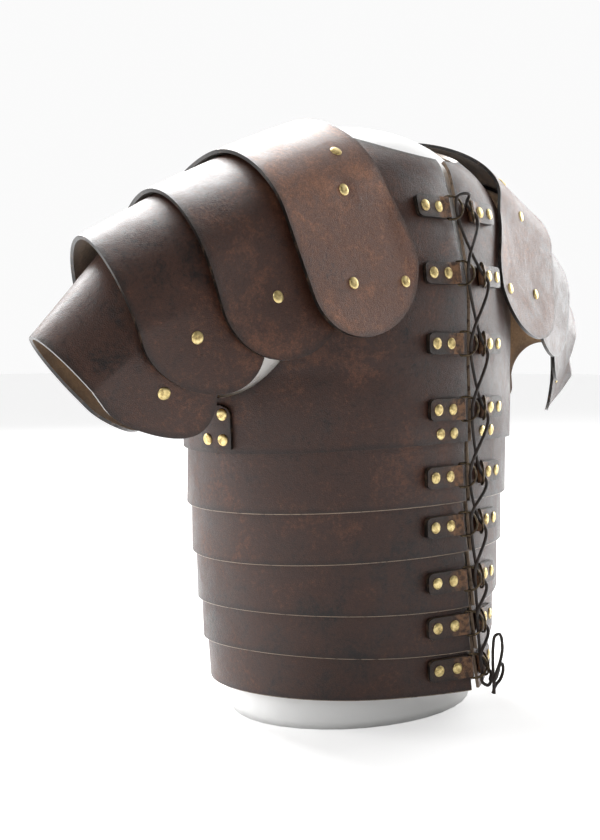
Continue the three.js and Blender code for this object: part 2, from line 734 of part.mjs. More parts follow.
function carryingStrap(half) {
  const layer = (height) =>
    STRAP_ROUTE.map(([plate, along, across], i) => {
      const next = STRAP_ROUTE[i + 1];
      const dives = next !== undefined && next[0] > plate;
      const gap = half > 0 ? STRAP_GAP.front : STRAP_GAP.back;
      const depth = LEATHER + gap + (dives ? LEATHER + PLATE_GAP : 0);
      const leg = lerp(ARCHES[plate - 1].leg * PLATES[plate - 1].reach, ARCHES[plate].leg, across);
      const spread = STRAP_WIDTH / 2 / leg;
      return [-spread, spread].map((aside) =>
        platePoint(plate, half * (along + aside), across, height - depth),
      );
    });
  return facingOut(wall(layer(-STRAP_THICKNESS), layer(0)));
}

// ---- side joiners, modelled on the wearer's left ----
function sideJoiner() {
  const layer = (height) =>
    steps(1).map((up) =>
      steps(4).map((f) => {
        const turn = 90 + lerp(-JOINER.turn, JOINER.turn, f);
        return facePoint(0, turn, lerp(JOINER.low, JOINER.high, up), SEAM + height);
      }),
    );
  const rivets = [-1, 1].flatMap((side) =>
    [JOINER.low + JOINER.rivetInset, JOINER.high - JOINER.rivetInset].map((z) =>
      capOn((height) => facePoint(0, 90 + side * JOINER.rivetTurn, z, SEAM + LEATHER + height)),
    ),
  );
  return joined(wall(layer(0), layer(LEATHER)), ...rivets);
}

// ---- lace ----
// The lace's points: each half threads the rings from the top, changing sides at every row and
// running in front of the rings in one gap and behind them in the next.
function laceRoute() {
  const thread = (row, half) => {
    const { bar, up, reach, inside } = ringSeat(TABS[row]);
    const eye = bar.clone().addScaledVector(reach, THREAD_REACH);
    const entry = (row % 2 === 0 ? -1 : 1) * half;
    const point = (height, side) =>
      eye
        .clone()
        .addScaledVector(up, height * (side > 0 ? THREAD_RISE.inside : THREAD_RISE.outside))
        .addScaledVector(inside, side * THREAD_DEPTH);
    const onLeft = (row % 2 === 0) === half < 0;
    return [point(1, entry), point(-1, -entry)].map((p) => (onLeft ? p : p.setX(-p.x)));
  };
  const halfRoute = (half, tail) => [
    ...TABS.flatMap((_, row) => thread(row, half)),
    ...tail.map((point) => vec(...point)),
  ];
  return [...halfRoute(1, TAIL_A).reverse(), vec(...TOP_SPAN), ...halfRoute(-1, TAIL_B)];
}

// A curve that spends the same share of its length on each stretch between two points.
class EvenlyTimedCurve extends THREE.CatmullRomCurve3 {
  getUtoTmapping(share) {
    return share;
  }
}

function lace() {
  const route = laceRoute();
  const sides = steps(LACE_SIDES).slice(0, -1).map((f) => 2 * Math.PI * f);
  const section = new THREE.Shape(
    sides.map((angle) => new THREE.Vector2(Math.cos(angle), Math.sin(angle)).multiplyScalar(LACE / 2)),
  );
  return new THREE.ExtrudeGeometry(section, {
    steps: route.length - 1,
    extrudePath: new EvenlyTimedCurve(route),
    curveSegments: 1,
  });
}

// ---- scene graph ----
const MATERIALS = {
  leather: new THREE.MeshStandardMaterial({ color: 0x3a2018, roughness: 0.5, metalness: 0 }),
  plate: new THREE.MeshStandardMaterial({ color: 0x4a2a1d, roughness: 0.45, metalness: 0 }),
  form: new THREE.MeshStandardMaterial({ color: 0xf0eee8, roughness: 0.6, metalness: 0 }),
  ring: new THREE.MeshStandardMaterial({ color: 0x6b5a3c, roughness: 0.4, metalness: 1 }),
  lace: new THREE.MeshStandardMaterial({ color: 0x1a0f0b, roughness: 0.7, metalness: 0 }),
};

const armour = new THREE.Group();
function add(name, geometry, material) {
  const mesh = new THREE.Mesh(geometry, material);
  mesh.name = name;
  armour.add(mesh);
}

function addPair(name, suffix, left, material) {
  add(`${name}_left${suffix}`, left, material);
  add(`${name}_right${suffix}`, mirrored(left), material);
}

add("display_form", displayForm(), MATERIALS.form);
const cornerCaps = [CORNER_RIVETS.outerX, CORNER_RIVETS.outerX - RIVET_PITCH].map((x) =>
  capOn((height) => facePoint(0, turnAt(x, CORNER_RIVETS.z), CORNER_RIVETS.z, height)),
);
addPair("chest", "", joined(chestPanel(), ...cornerCaps), MATERIALS.leather);
add("back_panel", backPanel(), MATERIALS.leather);
for (let level = 1; level < EDGES.length; level++) {
  add(`girdle_strip_${level}`, girdleStrip(level), MATERIALS.leather);
}
for (let plate = 1; plate < ARCHES.length; plate++) {
  addPair("shoulder_plate", `_${plate}`, mirrored(shoulderPlate(plate)), MATERIALS.plate);
}
addPair("front_strap", "", mirrored(carryingStrap(1)), MATERIALS.leather);
addPair("back_strap", "", mirrored(carryingStrap(-1)), MATERIALS.leather);
addPair("side_joiner", "", sideJoiner(), MATERIALS.leather);
TABS.forEach((tab, row) => {
  addPair("tab", `_${row + 1}`, lacingTab(tab), MATERIALS.leather);
  addPair("ring", `_${row + 1}`, lacingRing(tab), MATERIALS.ring);
});
add("lace", lace(), MATERIALS.lace);

export default armour;
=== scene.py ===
import math

import bpy
import numpy as np
from mathutils import Matrix, Vector
from mathutils.kdtree import KDTree


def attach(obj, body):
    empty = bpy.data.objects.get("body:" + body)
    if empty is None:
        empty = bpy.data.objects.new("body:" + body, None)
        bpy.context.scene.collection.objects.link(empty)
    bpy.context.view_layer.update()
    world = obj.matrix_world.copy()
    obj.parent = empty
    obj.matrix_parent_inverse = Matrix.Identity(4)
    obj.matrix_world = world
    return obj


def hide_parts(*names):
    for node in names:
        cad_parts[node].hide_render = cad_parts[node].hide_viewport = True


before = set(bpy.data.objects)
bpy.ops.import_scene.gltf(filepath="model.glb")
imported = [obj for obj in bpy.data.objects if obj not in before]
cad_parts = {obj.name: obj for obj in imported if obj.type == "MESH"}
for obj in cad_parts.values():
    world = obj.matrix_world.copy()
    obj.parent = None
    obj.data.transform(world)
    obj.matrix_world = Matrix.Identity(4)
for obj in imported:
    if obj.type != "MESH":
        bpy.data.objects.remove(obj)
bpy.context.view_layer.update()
bpy.ops.object.select_all(action="DESELECT")

MM = 0.001

# ---- leather and fittings ----
LEATHER = 3.2  # plates, panels and strips
SEAM = 0.4  # gap left between pieces that touch
OVERLAP = 14  # each strip's upper edge, tucked under the piece above
STRIP_LIFT = 5.2  # a strip's lower edge stands this much further out than its upper edge
LIFT_HEIGHT = 66  # height over which the chest panels ease out to their lower edge
FRONT_GAP = 2.6  # half of the opening down the front
NECK_GAP = {"half": 6.4, "from": 385, "to": 450}  # the opening widens between these heights
SIDE_GAP = 0.12  # half of the gap at a side seam, in degrees of turn
TAB_WIDTH = 19
TAB_LAYER = 2.1  # each of a tab's two layers
TAB_THICKNESS = 4.4  # two layers, with a little air between them
TAB_SEAM = 0.7
TAB_END = 9  # leather past the outer rivet
TAB_CORNER = 4.5  # radius of the corners past the outer rivet
FOLD_REACH = 13  # from the inner rivet to the ring's bar
FOLD_RADIUS = 3.6
RIVET_PITCH = 18
CAP_RADIUS = 5.2
CAP_SIDES = 24
CAP_WALL = {"height": 0.7, "middle": 0.1, "top": 0.45}  # the cap's rim, above the leather
CAP_STEPS = ((0.55, 0.5), (1.15, 0.42), (1.5, 0.2), (1.1, -0.04))  # in from the rim, and up
RING_WIRE = 2.2
RING_BAR = 21.6  # the ring's straight side, middle to middle of the wire
RING_ARM = 5  # straight arms between the bar and the round of the ring
RING_CORNER = 1.8  # radius of the bends at the bar's ends
RING_LEAST_TILT = 35  # degrees that a ring stands out from the leather
RING_CLEARANCE = 0.8  # between each ring and the middle of the front
ROUND_HANDLE = 0.5523  # a handle's share of the radius that draws a quarter circle
STRAP_WIDTH = 22  # carrying straps under the shoulder plates
STRAP_THICKNESS = 2.2
STRAP_GAP = {"front": 0.6, "back": 1.2}  # between a strap and the plates over it
LACE = 3
THREAD_REACH = 11  # from a ring's bar to the lace that runs through it
THREAD_DEPTH = 3.3  # how far the lace runs from a ring's plane, on either side
THREAD_RISE = {"inside": 5.5, "outside": 9.5}  # above or below the ring's middle
WELD = 0.02  # points closer than this are one
SHARP_TURN = 50  # degrees; a sheet's edge that turns more than this is rounded


def table(columns, *rows):
    return {name: np.array([row[i] for row in rows], float) for i, name in enumerate(columns)}


# ---- the body that the leather rests on, from the base up ----
# ridge: how far the front edges stand forward of the oval; below 0 they fall back into it.
BODY = table(
    ["z", "halfWidth", "halfDepth", "middle", "ridge"],
    [0, 138, 112, 0, 20],
    [30, 143.5, 116.5, 0.3, 20],
    [66, 151, 119.8, 1.3, 15],
    [106, 159, 122, 1.4, 10],
    [155, 168, 123.6, 1, 5.5],
    [201, 177, 124, 0, 1.5],
    [257, 184.5, 124.3, -2.2, 0],
    [300, 190.5, 126, -3, 0],
    [345, 194.5, 127.5, -2, 0.5],
    [398, 196.5, 126.5, -1, 2],
    [430, 195.5, 123.5, -1, -2],
    [465, 187, 119, -1, -6],
    [487, 171, 113.5, 0, -4],
    [505, 143, 105, 0, -1],
    [520.5, 115, 90, 0, 0],
    [534, 94, 75, 0, 0],
    [544, 69, 56, 0, 0],
    [552, 42, 33, 0, 0],
    [554.5, 20, 16, 0, 0],
)
RIDGE_HALF_WIDTH = 95

# ---- lower edges of the chest and of the five girdle strips: heights at the front and side ----
EDGES = [(256.5, 252), (201, 200), (155, 155), (104, 112), (64, 75), (28.7, 34.4)]

# ---- rows of lacing tabs: the piece each lies on (0 is the chest), its height and outer rivet ----
TABS = [
    (0, 465, 52),
    (0, 406.5, 51),
    (0, 345, 49.5),
    (0, 287, 48.5),
    (1, 226.5, 48.5),
    (2, 181.5, 46),
    (3, 131, 42),
    (4, 90, 40),
    (5, 51.5, 37),
]
CORNER_RIVETS = {"z": 265, "outerX": 41}  # bare pair at the foot of each chest panel

# ---- side joiners, over the seams under the arms ----
JOINER = {"turn": 7, "low": 256.5, "high": 294, "rivetTurn": 3.6, "rivetInset": 8, "corner": 9}
ARC_DEGREES = 57.3  # turn over which an arc is as long as its radius

# ---- the lace's two tails, from the lowest rings to their free ends ----
TAIL_A = [
    (-1.5, -151, 36.5),
    (0.5, -156, 34),
    (3.5, -158.8, 43),
    (2.5, -159.5, 56),
    (1, -160.5, 69),
    (2, -162, 80),
    (6, -164.5, 81),
    (9, -165.5, 69),
    (7, -164.5, 56),
    (3, -163, 46),
    (0, -162.3, 37),
    (2, -161.5, 27),
]
TAIL_B = [
    (8, -153.5, 37),
    (12, -156, 37),
    (14.5, -157.8, 44),
    (16.2, -158.6, 50),
    (19.8, -159, 50.5),
    (21.5, -159, 44.5),
    (18.5, -158, 36.5),
    (13, -156, 31),
    (10, -155, 24),
]
TOP_SPAN = (0, -134, 480)  # where the lace crosses between the two top rings

# ---- chest and back panels ----
NECK_FRONT = 511
NECK_BACK = 526
NECK_SHOULDER = 540.5
ARMHOLE_MIDDLE = 401
ARMHOLE_HALF_HEIGHT = 101.5
ARMHOLE_TURN = 35.5  # how far the armhole is cut into each panel, in degrees of turn
NECK_SHARE = 0.78  # the neckline's share of a chest panel's upper edge
SEAM_SHARE = 0.14  # the side seam's share of a panel's side, below the armhole
CHEST_COLUMNS = 61
BACK_COLUMNS = 111
PANEL_ROWS = 72
PANEL_WAVES = 0.3  # how far the hide's slow waves rise and fall
PLATE_WAVES = 0.45

# ---- shoulder plates, on the wearer's right ----
# Plate 1 spans arches 0 and 1. Each other plate runs from under the one before to its own arch.
# An arch has its crown at x, y, z. From there it goes a leg's length to the front and to the back,
# round a quarter oval of span by drop and then straight down. Tilt leans each half in towards the
# body, flare turns its straight part outwards, and yaw turns the half about the crown.
ARCH_COLUMNS = (
    *("x", "y", "z", "tiltFront", "tiltBack", "yawBack"),
    *("spanFront", "spanBack", "drop", "flareFront", "flareBack", "leg"),
)
ARCHES = [
    dict(zip(ARCH_COLUMNS, row))
    for row in (
        (-80, 10, 550.5, 27, 9, 8, 115, 124, 70, 2, 4, 266),
        (-192, 3, 510.5, 18.5, 9, 12, 103.5, 118, 70, 5, 6, 258),
        (-270, 3, 470.5, 17.5, 13, 18, 86, 97, 78, -1, 3, 216),
        (-340.5, 5.5, 428.5, 20, 23, 22, 62.5, 71, 80, -12, -3, 172),
        (-388, 6, 350.5, 41.5, 43, 24, 36.5, 35.5, 56, -24.5, -7.5, 137),
    )
]
FRONT_YAW = 24
# tuck: where the plate leaves the one before, across that one. reach: its share of that one's length.
# round: length of its rounded ends. rivets: places along and across, and how far each dimples it.
PLATES = [
    dict(tuck=0, reach=1, round=57, rivets=[(-0.81, 0.64), (-0.53, 0.4)], dimples=[0.5, 1.2]),
    dict(tuck=0.64, reach=0.96, round=62, rivets=[(-0.77, 0.58)], dimples=[0.4]),
    dict(tuck=0.7, reach=1.07, round=50, rivets=[(-0.76, 0.58)], dimples=[0.4]),
    dict(tuck=0.48, reach=1.16, round=44, rivets=[(-0.77, 0.52)], dimples=[0.4]),
]
ANCHORS = [(-0.89, 0.2), (-0.37, 0.26)]  # rivets from plate 1 down to the panels
ANCHOR_DIMPLE = 0.2
DIMPLE_RADIUS = 9
BODY_CLEARANCE = 1
FOOT_PASSES = 6  # steps in finding the body's nearest point
PLATE_GAP = 1.5
# A carrying strap's stations: the plate over it, and the place along and across that plate.
STRAP_ROUTE = [
    (1, -0.78, 0.5),
    (1, -0.77, 0.6),
    (2, -0.77, 0.06),
    (2, -0.77, 0.45),
    (2, -0.79, 0.62),
    (3, -0.76, 0.06),
    (3, -0.8, 0.38),
    (3, -0.81, 0.46),
    (4, -0.7, 0.05),
    (4, -0.72, 0.24),
    (4, -0.75, 0.44),
]

# ---- camera ----
CAMERA_PLACE = (-1.0097, -0.7723, 0.3395)
CAMERA_YAW = 50.31  # from +Y towards +X, in degrees
CAMERA_PITCH = -3.07
CAMERA_ROLL = -0.19
CAMERA_LENS = 55.714
CAMERA_SENSOR = 36

# ---- studio ----
MIDDLE = Vector((0, 0, 0.32))  # what the lamps point at
FLOOR_SIZE = 30
FLOOR_GLOW = 0.42  # lifts the floor towards white where it is seen directly
ROOM_LIGHT = {"near": 0.15, "far": 1.0, "seen": 0.96}  # camera's side, far side, and as seen
# Each lamp's name, its place as in soft_light, its size in metres and its power in watts.
LAMPS = [
    ("right_window", 2.0, 1.8, 0.8, 1.9, 48),
    ("top_back_window", -0.9, 1.7, 2.2, 2.4, 190),
    ("left_window", -2.3, -0.1, 0.6, 1.0, 28),
    ("front_fill", -0.9, -2.6, 1.6, 1.4, 20),
]


# ---- small helpers ----
def lerp(a, b, f):
    return a + (b - a) * f


def unit(v):
    return v / np.linalg.norm(v, axis=-1, keepdims=True)


def between(column, z):
    """A column of the body's table at height z, as one smooth curve through its rows."""
    heights, values = BODY["z"], BODY[column]
    last = len(heights) - 1
    i = np.clip(np.searchsorted(heights, z, side="right") - 1, 0, last - 1)
    low, high = np.maximum(np.arange(last + 1) - 1, 0), np.minimum(np.arange(last + 1) + 1, last)
    slope = (values[high] - values[low]) / (heights[high] - heights[low])
    span = heights[i + 1] - heights[i]
    f = np.clip((z - heights[i]) / span, 0, 1)
    rise, ease = f * f * (3 - 2 * f), span * f * (1 - f)
    return lerp(values[i], values[i + 1], rise) + ease * ((1 - f) * slope[i] - f * slope[i + 1])


def raised(surface, u, v, height):
    """A point of surface(u, v) moved out along its normal."""
    step = 0.01
    along = surface(u + step, v) - surface(u - step, v)
    across = surface(u, v + step) - surface(u, v - step)
    normal = unit(np.cross(along, across))
    return surface(u, v) + normal * np.asarray(height)[..., None]


def rest_surface(turn, z):
    """turn: degrees from the front middle, towards the wearer's left."""
    turn, z = np.broadcast_arrays(np.asarray(turn, float), np.asarray(z, float))
    forward = np.cos(np.radians(turn))
    x = between("halfWidth", z) * np.sin(np.radians(turn))
    near_middle = np.where(forward > 0, np.maximum(1 - np.abs(x) / RIDGE_HALF_WIDTH, 0) ** 2, 0)
    y = between("middle", z) - between("halfDepth", z) * forward - between("ridge", z) * near_middle
    return np.stack([x, y, z], -1)


# ---- chest, back and girdle ----
def edge_height(level, turn):
    forward = np.cos(np.radians(turn)) ** 2
    return lerp(EDGES[level][1], EDGES[level][0], forward)


def stand_off(level, turn, z):
    """How far a piece's inner face stands off the body; it grows towards the lower edge."""
    low = edge_height(level, turn)
    height = LIFT_HEIGHT if level == 0 else edge_height(level - 1, turn) + OVERLAP - low
    return SEAM + STRIP_LIFT * np.clip(1 - (z - low) / height, 0, 1)


def front_turn(z):
    f = np.clip((z - NECK_GAP["from"]) / (NECK_GAP["to"] - NECK_GAP["from"]), 0, 1)
    return turn_at(lerp(FRONT_GAP, NECK_GAP["half"], f * f * (3 - 2 * f)), z)


def strip_point(level, turn, z, height):
    """A strip is straight between its two long edges. Height is measured from its inner face."""
    low = edge_height(level, turn)
    high = edge_height(level - 1, turn) + OVERLAP
    lower = raised(rest_surface, turn, low, stand_off(level, turn, low) + height)
    upper = raised(rest_surface, turn, high, stand_off(level, turn, high) + height)
    return lerp(lower, upper, np.asarray((z - low) / (high - low))[..., None])


def face_point(level, turn, z, height):
    """A point above a piece's outer face."""
    if level > 0:
        return strip_point(level, turn, z, LEATHER + height)
    return raised(rest_surface, turn, z, stand_off(0, turn, z) + LEATHER + height)


def turn_at(x, z):
    return np.degrees(np.arcsin(x / between("halfWidth", z)))


# ---- lacing rings and lace ----
def ring_seat(row):
    """Where a tab's ring sits on the wearer's left: its bar's middle, direction and reach."""
    level, z, rivet_x = TABS[row]
    bar_x = rivet_x - RIVET_PITCH - FOLD_REACH
    rise = TAB_SEAM + FOLD_RADIUS
    bar = face_point(level, turn_at(bar_x, z), z, rise)
    half = TAB_WIDTH / 2
    top = face_point(level, turn_at(bar_x, z), z + half, rise)
    foot = face_point(level, turn_at(bar_x, z), z - half, rise)
    up = unit(top - foot)
    outer = face_point(level, turn_at(bar_x + 1, z), z, rise)
    away = outer - bar
    away = unit(away - up * np.dot(away, up))
    normal = -np.cross(up, away)
    length = RING_ARM + RING_BAR / 2 + RING_WIRE / 2
    share = (bar[0] - RING_CLEARANCE) / (length * math.hypot(normal[0], away[0]))
    fit = math.acos(min(share, 1)) - math.atan2(normal[0], away[0])
    tilt = max(math.radians(RING_LEAST_TILT), fit)
    reach = -away * math.cos(tilt) + normal * math.sin(tilt)
    return dict(bar=bar, up=up, away=away, normal=normal, reach=reach, inside=np.cross(reach, up))


def lace_route():
    """The lace threads the rings from the top, changing sides at every row."""

    def thread(row, half):
        seat = ring_seat(row)
        eye = seat["bar"] + seat["reach"] * THREAD_REACH
        entry = (-1 if row % 2 == 0 else 1) * half
        on_left = (row % 2 == 0) == (half < 0)
        mirror = np.array([1 if on_left else -1, 1, 1])

        def point(height, side):
            rise = THREAD_RISE["inside" if side > 0 else "outside"]
            return (eye + seat["up"] * height * rise + seat["inside"] * side * THREAD_DEPTH) * mirror

        return [point(1, entry), point(-1, -entry)]

    def half_route(half, tail):
        rings = [point for row in range(len(TABS)) for point in thread(row, half)]
        return rings + [np.array(point, float) for point in tail]

    first, second = half_route(1, TAIL_A), half_route(-1, TAIL_B)
    return [*first[::-1], np.array(TOP_SPAN, float), *second]


def smooth_handles(points):
    """Handles that make each stretch the rounded curve through its own and the next points."""
    padded = [2 * points[0] - points[1], *points, 2 * points[-1] - points[-2]]
    handles = []
    for i in range(len(points)):
        before, here, after = padded[i : i + 3]
        into = np.linalg.norm(here - before) ** 0.5
        out = np.linalg.norm(after - here) ** 0.5
        slope = (here - before) / into - (after - before) / (into + out) + (after - here) / out
        handles.append((here - slope * into / 3, here + slope * out / 3))
    return handles


def ride(piece, node):
    """A piece of the part: it rides on the body and stands for a node, which it hides."""
    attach(piece, "root")
    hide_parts(node)
    return piece


def link(name, data):
    piece = bpy.data.objects.new(name, data)
    bpy.context.scene.collection.objects.link(piece)
    return piece


def make_camera():
    yaw, pitch, roll = (math.radians(a) for a in (CAMERA_YAW, CAMERA_PITCH, CAMERA_ROLL))
    level = math.cos(pitch)
    ahead = Vector((level * math.sin(yaw), level * math.cos(yaw), math.sin(pitch)))
    level_right = ahead.cross(Vector((0, 0, 1))).normalized()
    level_up = level_right.cross(ahead)
    right = math.cos(roll) * level_right + math.sin(roll) * level_up
    up = -math.sin(roll) * level_right + math.cos(roll) * level_up
    data = bpy.data.cameras.new("camera")
    data.lens, data.sensor_width = CAMERA_LENS, CAMERA_SENSOR
    data.clip_start, data.clip_end = 0.05, 50
    camera = link("camera", data)
    camera.matrix_world = Matrix((right, up, -ahead)).transposed().to_4x4()
    camera.location = CAMERA_PLACE
    bpy.context.scene.camera = camera
    return ahead, right


def make_lace(material):
    route = lace_route()
    curve = bpy.data.curves.new("lace_cord", "CURVE")
    curve.dimensions = "3D"
    curve.bevel_depth = LACE / 2 * MM
    curve.bevel_resolution = 3
    curve.resolution_u = 10
    curve.use_fill_caps = True
    spline = curve.splines.new("BEZIER")
    spline.bezier_points.add(len(route) - 1)
    for place, point, (into, out) in zip(spline.bezier_points, route, smooth_handles(route)):
        place.handle_left_type = place.handle_right_type = "FREE"
        places = (Vector(p * MM) for p in (point, into, out))
        place.co, place.handle_left, place.handle_right = places
    curve.materials.append(material)
    piece = ride(link("lace_cord", curve), "lace")


# ---- finishes ----
class Finish:
    """A material's nodes, with short ways to add and join them."""

    def __init__(self, name):
        self.material = bpy.data.materials.new(name)
        self.material.use_nodes = True
        self.nodes, self.links = self.material.node_tree.nodes, self.material.node_tree.links
        self.shader = self.nodes["Principled BSDF"]
        self.place = self.nodes.new("ShaderNodeTexCoord").outputs["Object"]

    def put(self, socket, value):
        if isinstance(value, bpy.types.NodeSocket):
            self.links.new(value, socket)
        else:
            socket.default_value = value

    def noise(self, scale, detail=3, roughness=0.5, distortion=0.0, stretch=None):
        """Clouds, about scale of them to a metre."""
        node = self.nodes.new("ShaderNodeTexNoise")
        self.put(node.inputs["Vector"], self.stretched(stretch) if stretch else self.place)
        node.inputs["Scale"].default_value = scale
        node.inputs["Detail"].default_value = detail
        node.inputs["Roughness"].default_value = roughness
        node.inputs["Distortion"].default_value = distortion
        return node.outputs["Fac"]

    def stretched(self, stretch):
        node = self.nodes.new("ShaderNodeMapping")
        self.put(node.inputs["Vector"], self.place)
        node.inputs["Scale"].default_value = stretch
        return node.outputs["Vector"]

    def cells(self, scale):
        """Distance from the border between cells, about scale of them to a metre."""
        node = self.nodes.new("ShaderNodeTexVoronoi")
        node.feature = "DISTANCE_TO_EDGE"
        self.put(node.inputs["Vector"], self.place)
        node.inputs["Scale"].default_value = scale
        return node.outputs["Distance"]

    def attribute(self, name):
        node = self.nodes.new("ShaderNodeAttribute")
        node.attribute_name = name
        return node.outputs["Fac"]

    def spread(self, value, low, high, new_low=0.0, new_high=1.0):
        """Eases from new_low to new_high while the value goes from low to high."""
        node = self.nodes.new("ShaderNodeMapRange")
        node.interpolation_type = "SMOOTHSTEP"
        for i, v in enumerate((value, low, high, new_low, new_high)):
            self.put(node.inputs[i], v)
        return node.outputs["Result"]

    def math(self, operation, a, b=0.0):
        node = self.nodes.new("ShaderNodeMath")
        node.operation = operation
        self.put(node.inputs[0], a)
        self.put(node.inputs[1], b)
        return node.outputs["Value"]

    def blend(self, *parts):
        """A sum of values, each with its share."""
        total = None
        for value, share in parts:
            part = self.math("MULTIPLY", value, share)
            total = part if total is None else self.math("ADD", total, part)
        return total

    def ramp(self, fac, *stops):
        node = self.nodes.new("ShaderNodeValToRGB")
        self.put(node.inputs["Fac"], fac)
        points = node.color_ramp.elements
        while len(points) < len(stops):
            points.new(0.5)
        for point, (place, colour) in zip(points, stops):
            point.position, point.color = place, (*colour, 1)
        return node.outputs["Color"]

    def mix(self, fac, a, b):
        node = self.nodes.new("ShaderNodeMix")
        node.data_type = "RGBA"
        self.put(node.inputs["Factor"], fac)
        self.put(node.inputs["A"], a)
        self.put(node.inputs["B"], b)
        return node.outputs["Result"]

    def bump(self, height, depth, strength=1.0, under=None):
        node = self.nodes.new("ShaderNodeBump")
        self.put(node.inputs["Height"], height)
        node.inputs["Distance"].default_value = depth
        node.inputs["Strength"].default_value = strength
        if under is not None:
            self.put(node.inputs["Normal"], under)
        return node.outputs["Normal"]

    def finish(self, colour, roughness, normal=None, **constants):
        self.put(self.shader.inputs["Base Color"], colour)
        self.put(self.shader.inputs["Roughness"], roughness)
        if normal is not None:
            self.put(self.shader.inputs["Normal"], normal)
        for name, value in constants.items():
            self.shader.inputs[name.replace("_", " ")].default_value = value
        return self.material


def rgba(colour, level=1.0):
    return (*(c * level for c in colour), 1)


def grain_leather(name, deep, body, warm, worn=None):
    """Smooth dyed leather: clouded dye, rubbed-dark edges, pores and a waxed surface."""
    f = Finish(name)
    clouds = f.noise(8, 3, 0.55, 0.9)
    smudges = f.noise(34, 6, 0.7, 0.5)
    speckle = f.noise(280, 5, 0.75)
    mixed = f.blend((clouds, 0.3), (smudges, 0.38), (speckle, 0.32))
    dye = f.ramp(mixed, (0.39, deep), (0.48, body), (0.52, body), (0.62, warm))
    pores = f.spread(f.cells(620), 0.0, 0.2)
    dye = f.mix(f.math("MULTIPLY", f.math("SUBTRACT", 1.0, pores), 0.4), dye, rgba(deep, 0.6))
    edge = f.math("ADD", f.attribute("edge"), f.math("MULTIPLY", smudges, 0.006))
    dye = f.mix(f.spread(edge, 0.0035, 0.0095, 0.6, 0.0), dye, rgba(deep, 0.7))
    roughness = f.spread(smudges, 0.32, 0.68, 0.36, 0.52)
    if worn is not None:
        patches = f.spread(f.noise(240, 4, 0.6), 0.38, 0.62, 0.1, 0.9)
        dye = f.mix(f.math("MULTIPLY", f.attribute("worn"), patches), dye, rgba(worn))
    grain = f.blend((pores, 0.55), (f.noise(380, 3, 0.6), 0.75))
    hide = f.bump(f.noise(80, 4, 0.6, 0.6), 0.0009, 0.55)
    normal = f.bump(grain, 0.00034, 0.7, hide)
    return f.finish(
        dye, roughness, normal, Coat_Weight=0.12, Coat_Roughness=0.26, Specular_IOR_Level=0.5
    )


def flesh_leather(name, pale, brown):
    """The undyed, fibrous back of the hide."""
    f = Finish(name)
    fibres = f.noise(260, 5, 0.7, 1.2)
    patches = f.noise(22, 4, 0.6)
    mixed = f.blend((fibres, 0.45), (patches, 0.55))
    colour = f.ramp(mixed, (0.36, brown), (0.6, pale))
    rubbed = f.spread(f.attribute("edge"), 0.001, 0.012, 0.6, 0.0)
    colour = f.mix(rubbed, colour, rgba(brown, 0.5))
    normal = f.bump(fibres, 0.0007, 0.7)
    return f.finish(colour, 0.88, normal, Sheen_Weight=0.25, Sheen_Roughness=0.5)


def cut_edge(name, dark, pale, share):
    """The hide's cut edge, dyed and rubbed smooth, with bare fibre where it has worn."""
    f = Finish(name)
    worn = f.spread(f.noise(140, 5, 0.65), 0.62 - share, 0.78 - share)
    colour = f.mix(worn, rgba(dark), rgba(pale))
    return f.finish(colour, 0.34, f.bump(f.noise(600, 3, 0.6), 0.0002, 0.5))


def old_metal(name, bright, dull, tarnish, low=0.3, high=0.5):
    """Metal with fine scratches and dull patches, and its roughness where bright and tarnished."""
    f = Finish(name)
    patches = f.noise(260, 4, 0.6)
    scratches = f.noise(900, 2, 0.7, 0, (1, 1, 7))
    mixed = f.blend((patches, 0.7), (scratches, 0.3))
    colour = f.ramp(mixed, (0.38, tarnish), (0.5, dull), (0.62, bright))
    roughness = f.spread(mixed, 0.35, 0.65, high, low)
    return f.finish(colour, roughness, f.bump(mixed, 0.00012, 0.5), Metallic=1.0)


def lace_finish():
    f = Finish("waxed_lace")
    strands = f.noise(1500, 3, 0.6, 0, (1, 1, 0.25))
    dye = f.noise(220, 4, 0.6)
    colour = f.ramp(dye, (0.35, (0.006, 0.004, 0.003)), (0.7, (0.035, 0.019, 0.012)))
    return f.finish(colour, 0.5, f.bump(strands, 0.0003, 0.6))


def form_finish():
    f = Finish("white_form")
    colour = f.mix(f.noise(3, 3, 0.5), rgba((0.93, 0.93, 0.925)), rgba((0.89, 0.89, 0.88)))
    return f.finish(colour, 0.5, f.bump(f.noise(700, 3, 0.6), 0.00015, 0.4))


def floor_finish():
    f = Finish("pale_floor")
    colour = f.mix(f.noise(4, 4, 0.5), rgba((0.86, 0.86, 0.86)), rgba((0.83, 0.83, 0.83)))
    seen = f.nodes.new("ShaderNodeLightPath").outputs["Is Camera Ray"]
    f.put(f.shader.inputs["Emission Strength"], f.math("MULTIPLY", seen, FLOOR_GLOW))
    return f.finish(colour, 0.8, Emission_Color=(1, 1, 1, 1))


# ---- sheets of leather ----
def ripple(points, size):
    """The slow waves of a hide that was shaped by hand, in millimetres along the normal."""
    x, y, z = points[..., 0], points[..., 1], points[..., 2]
    waves = np.sin(x / 31 + z / 47 + 0.6) + np.sin(y / 27 - z / 36 + 1.9)
    return size * (waves + np.sin((x + y) / 19 + z / 71)) / 3


def cut_size(grid):
    """Width, length and area of the flat cut in metres, measured along the shaped sheet."""
    across = np.linalg.norm(np.diff(grid, axis=1), axis=-1).sum(1).max()
    up = np.linalg.norm(np.diff(grid, axis=0), axis=-1).sum(0).max()
    a, b, c, d = grid[:-1, :-1], grid[:-1, 1:], grid[1:, 1:], grid[1:, :-1]
    area = np.linalg.norm(np.cross(c - a, d - b), axis=-1).sum() / 2
    return (across * MM, up * MM), area * MM * MM


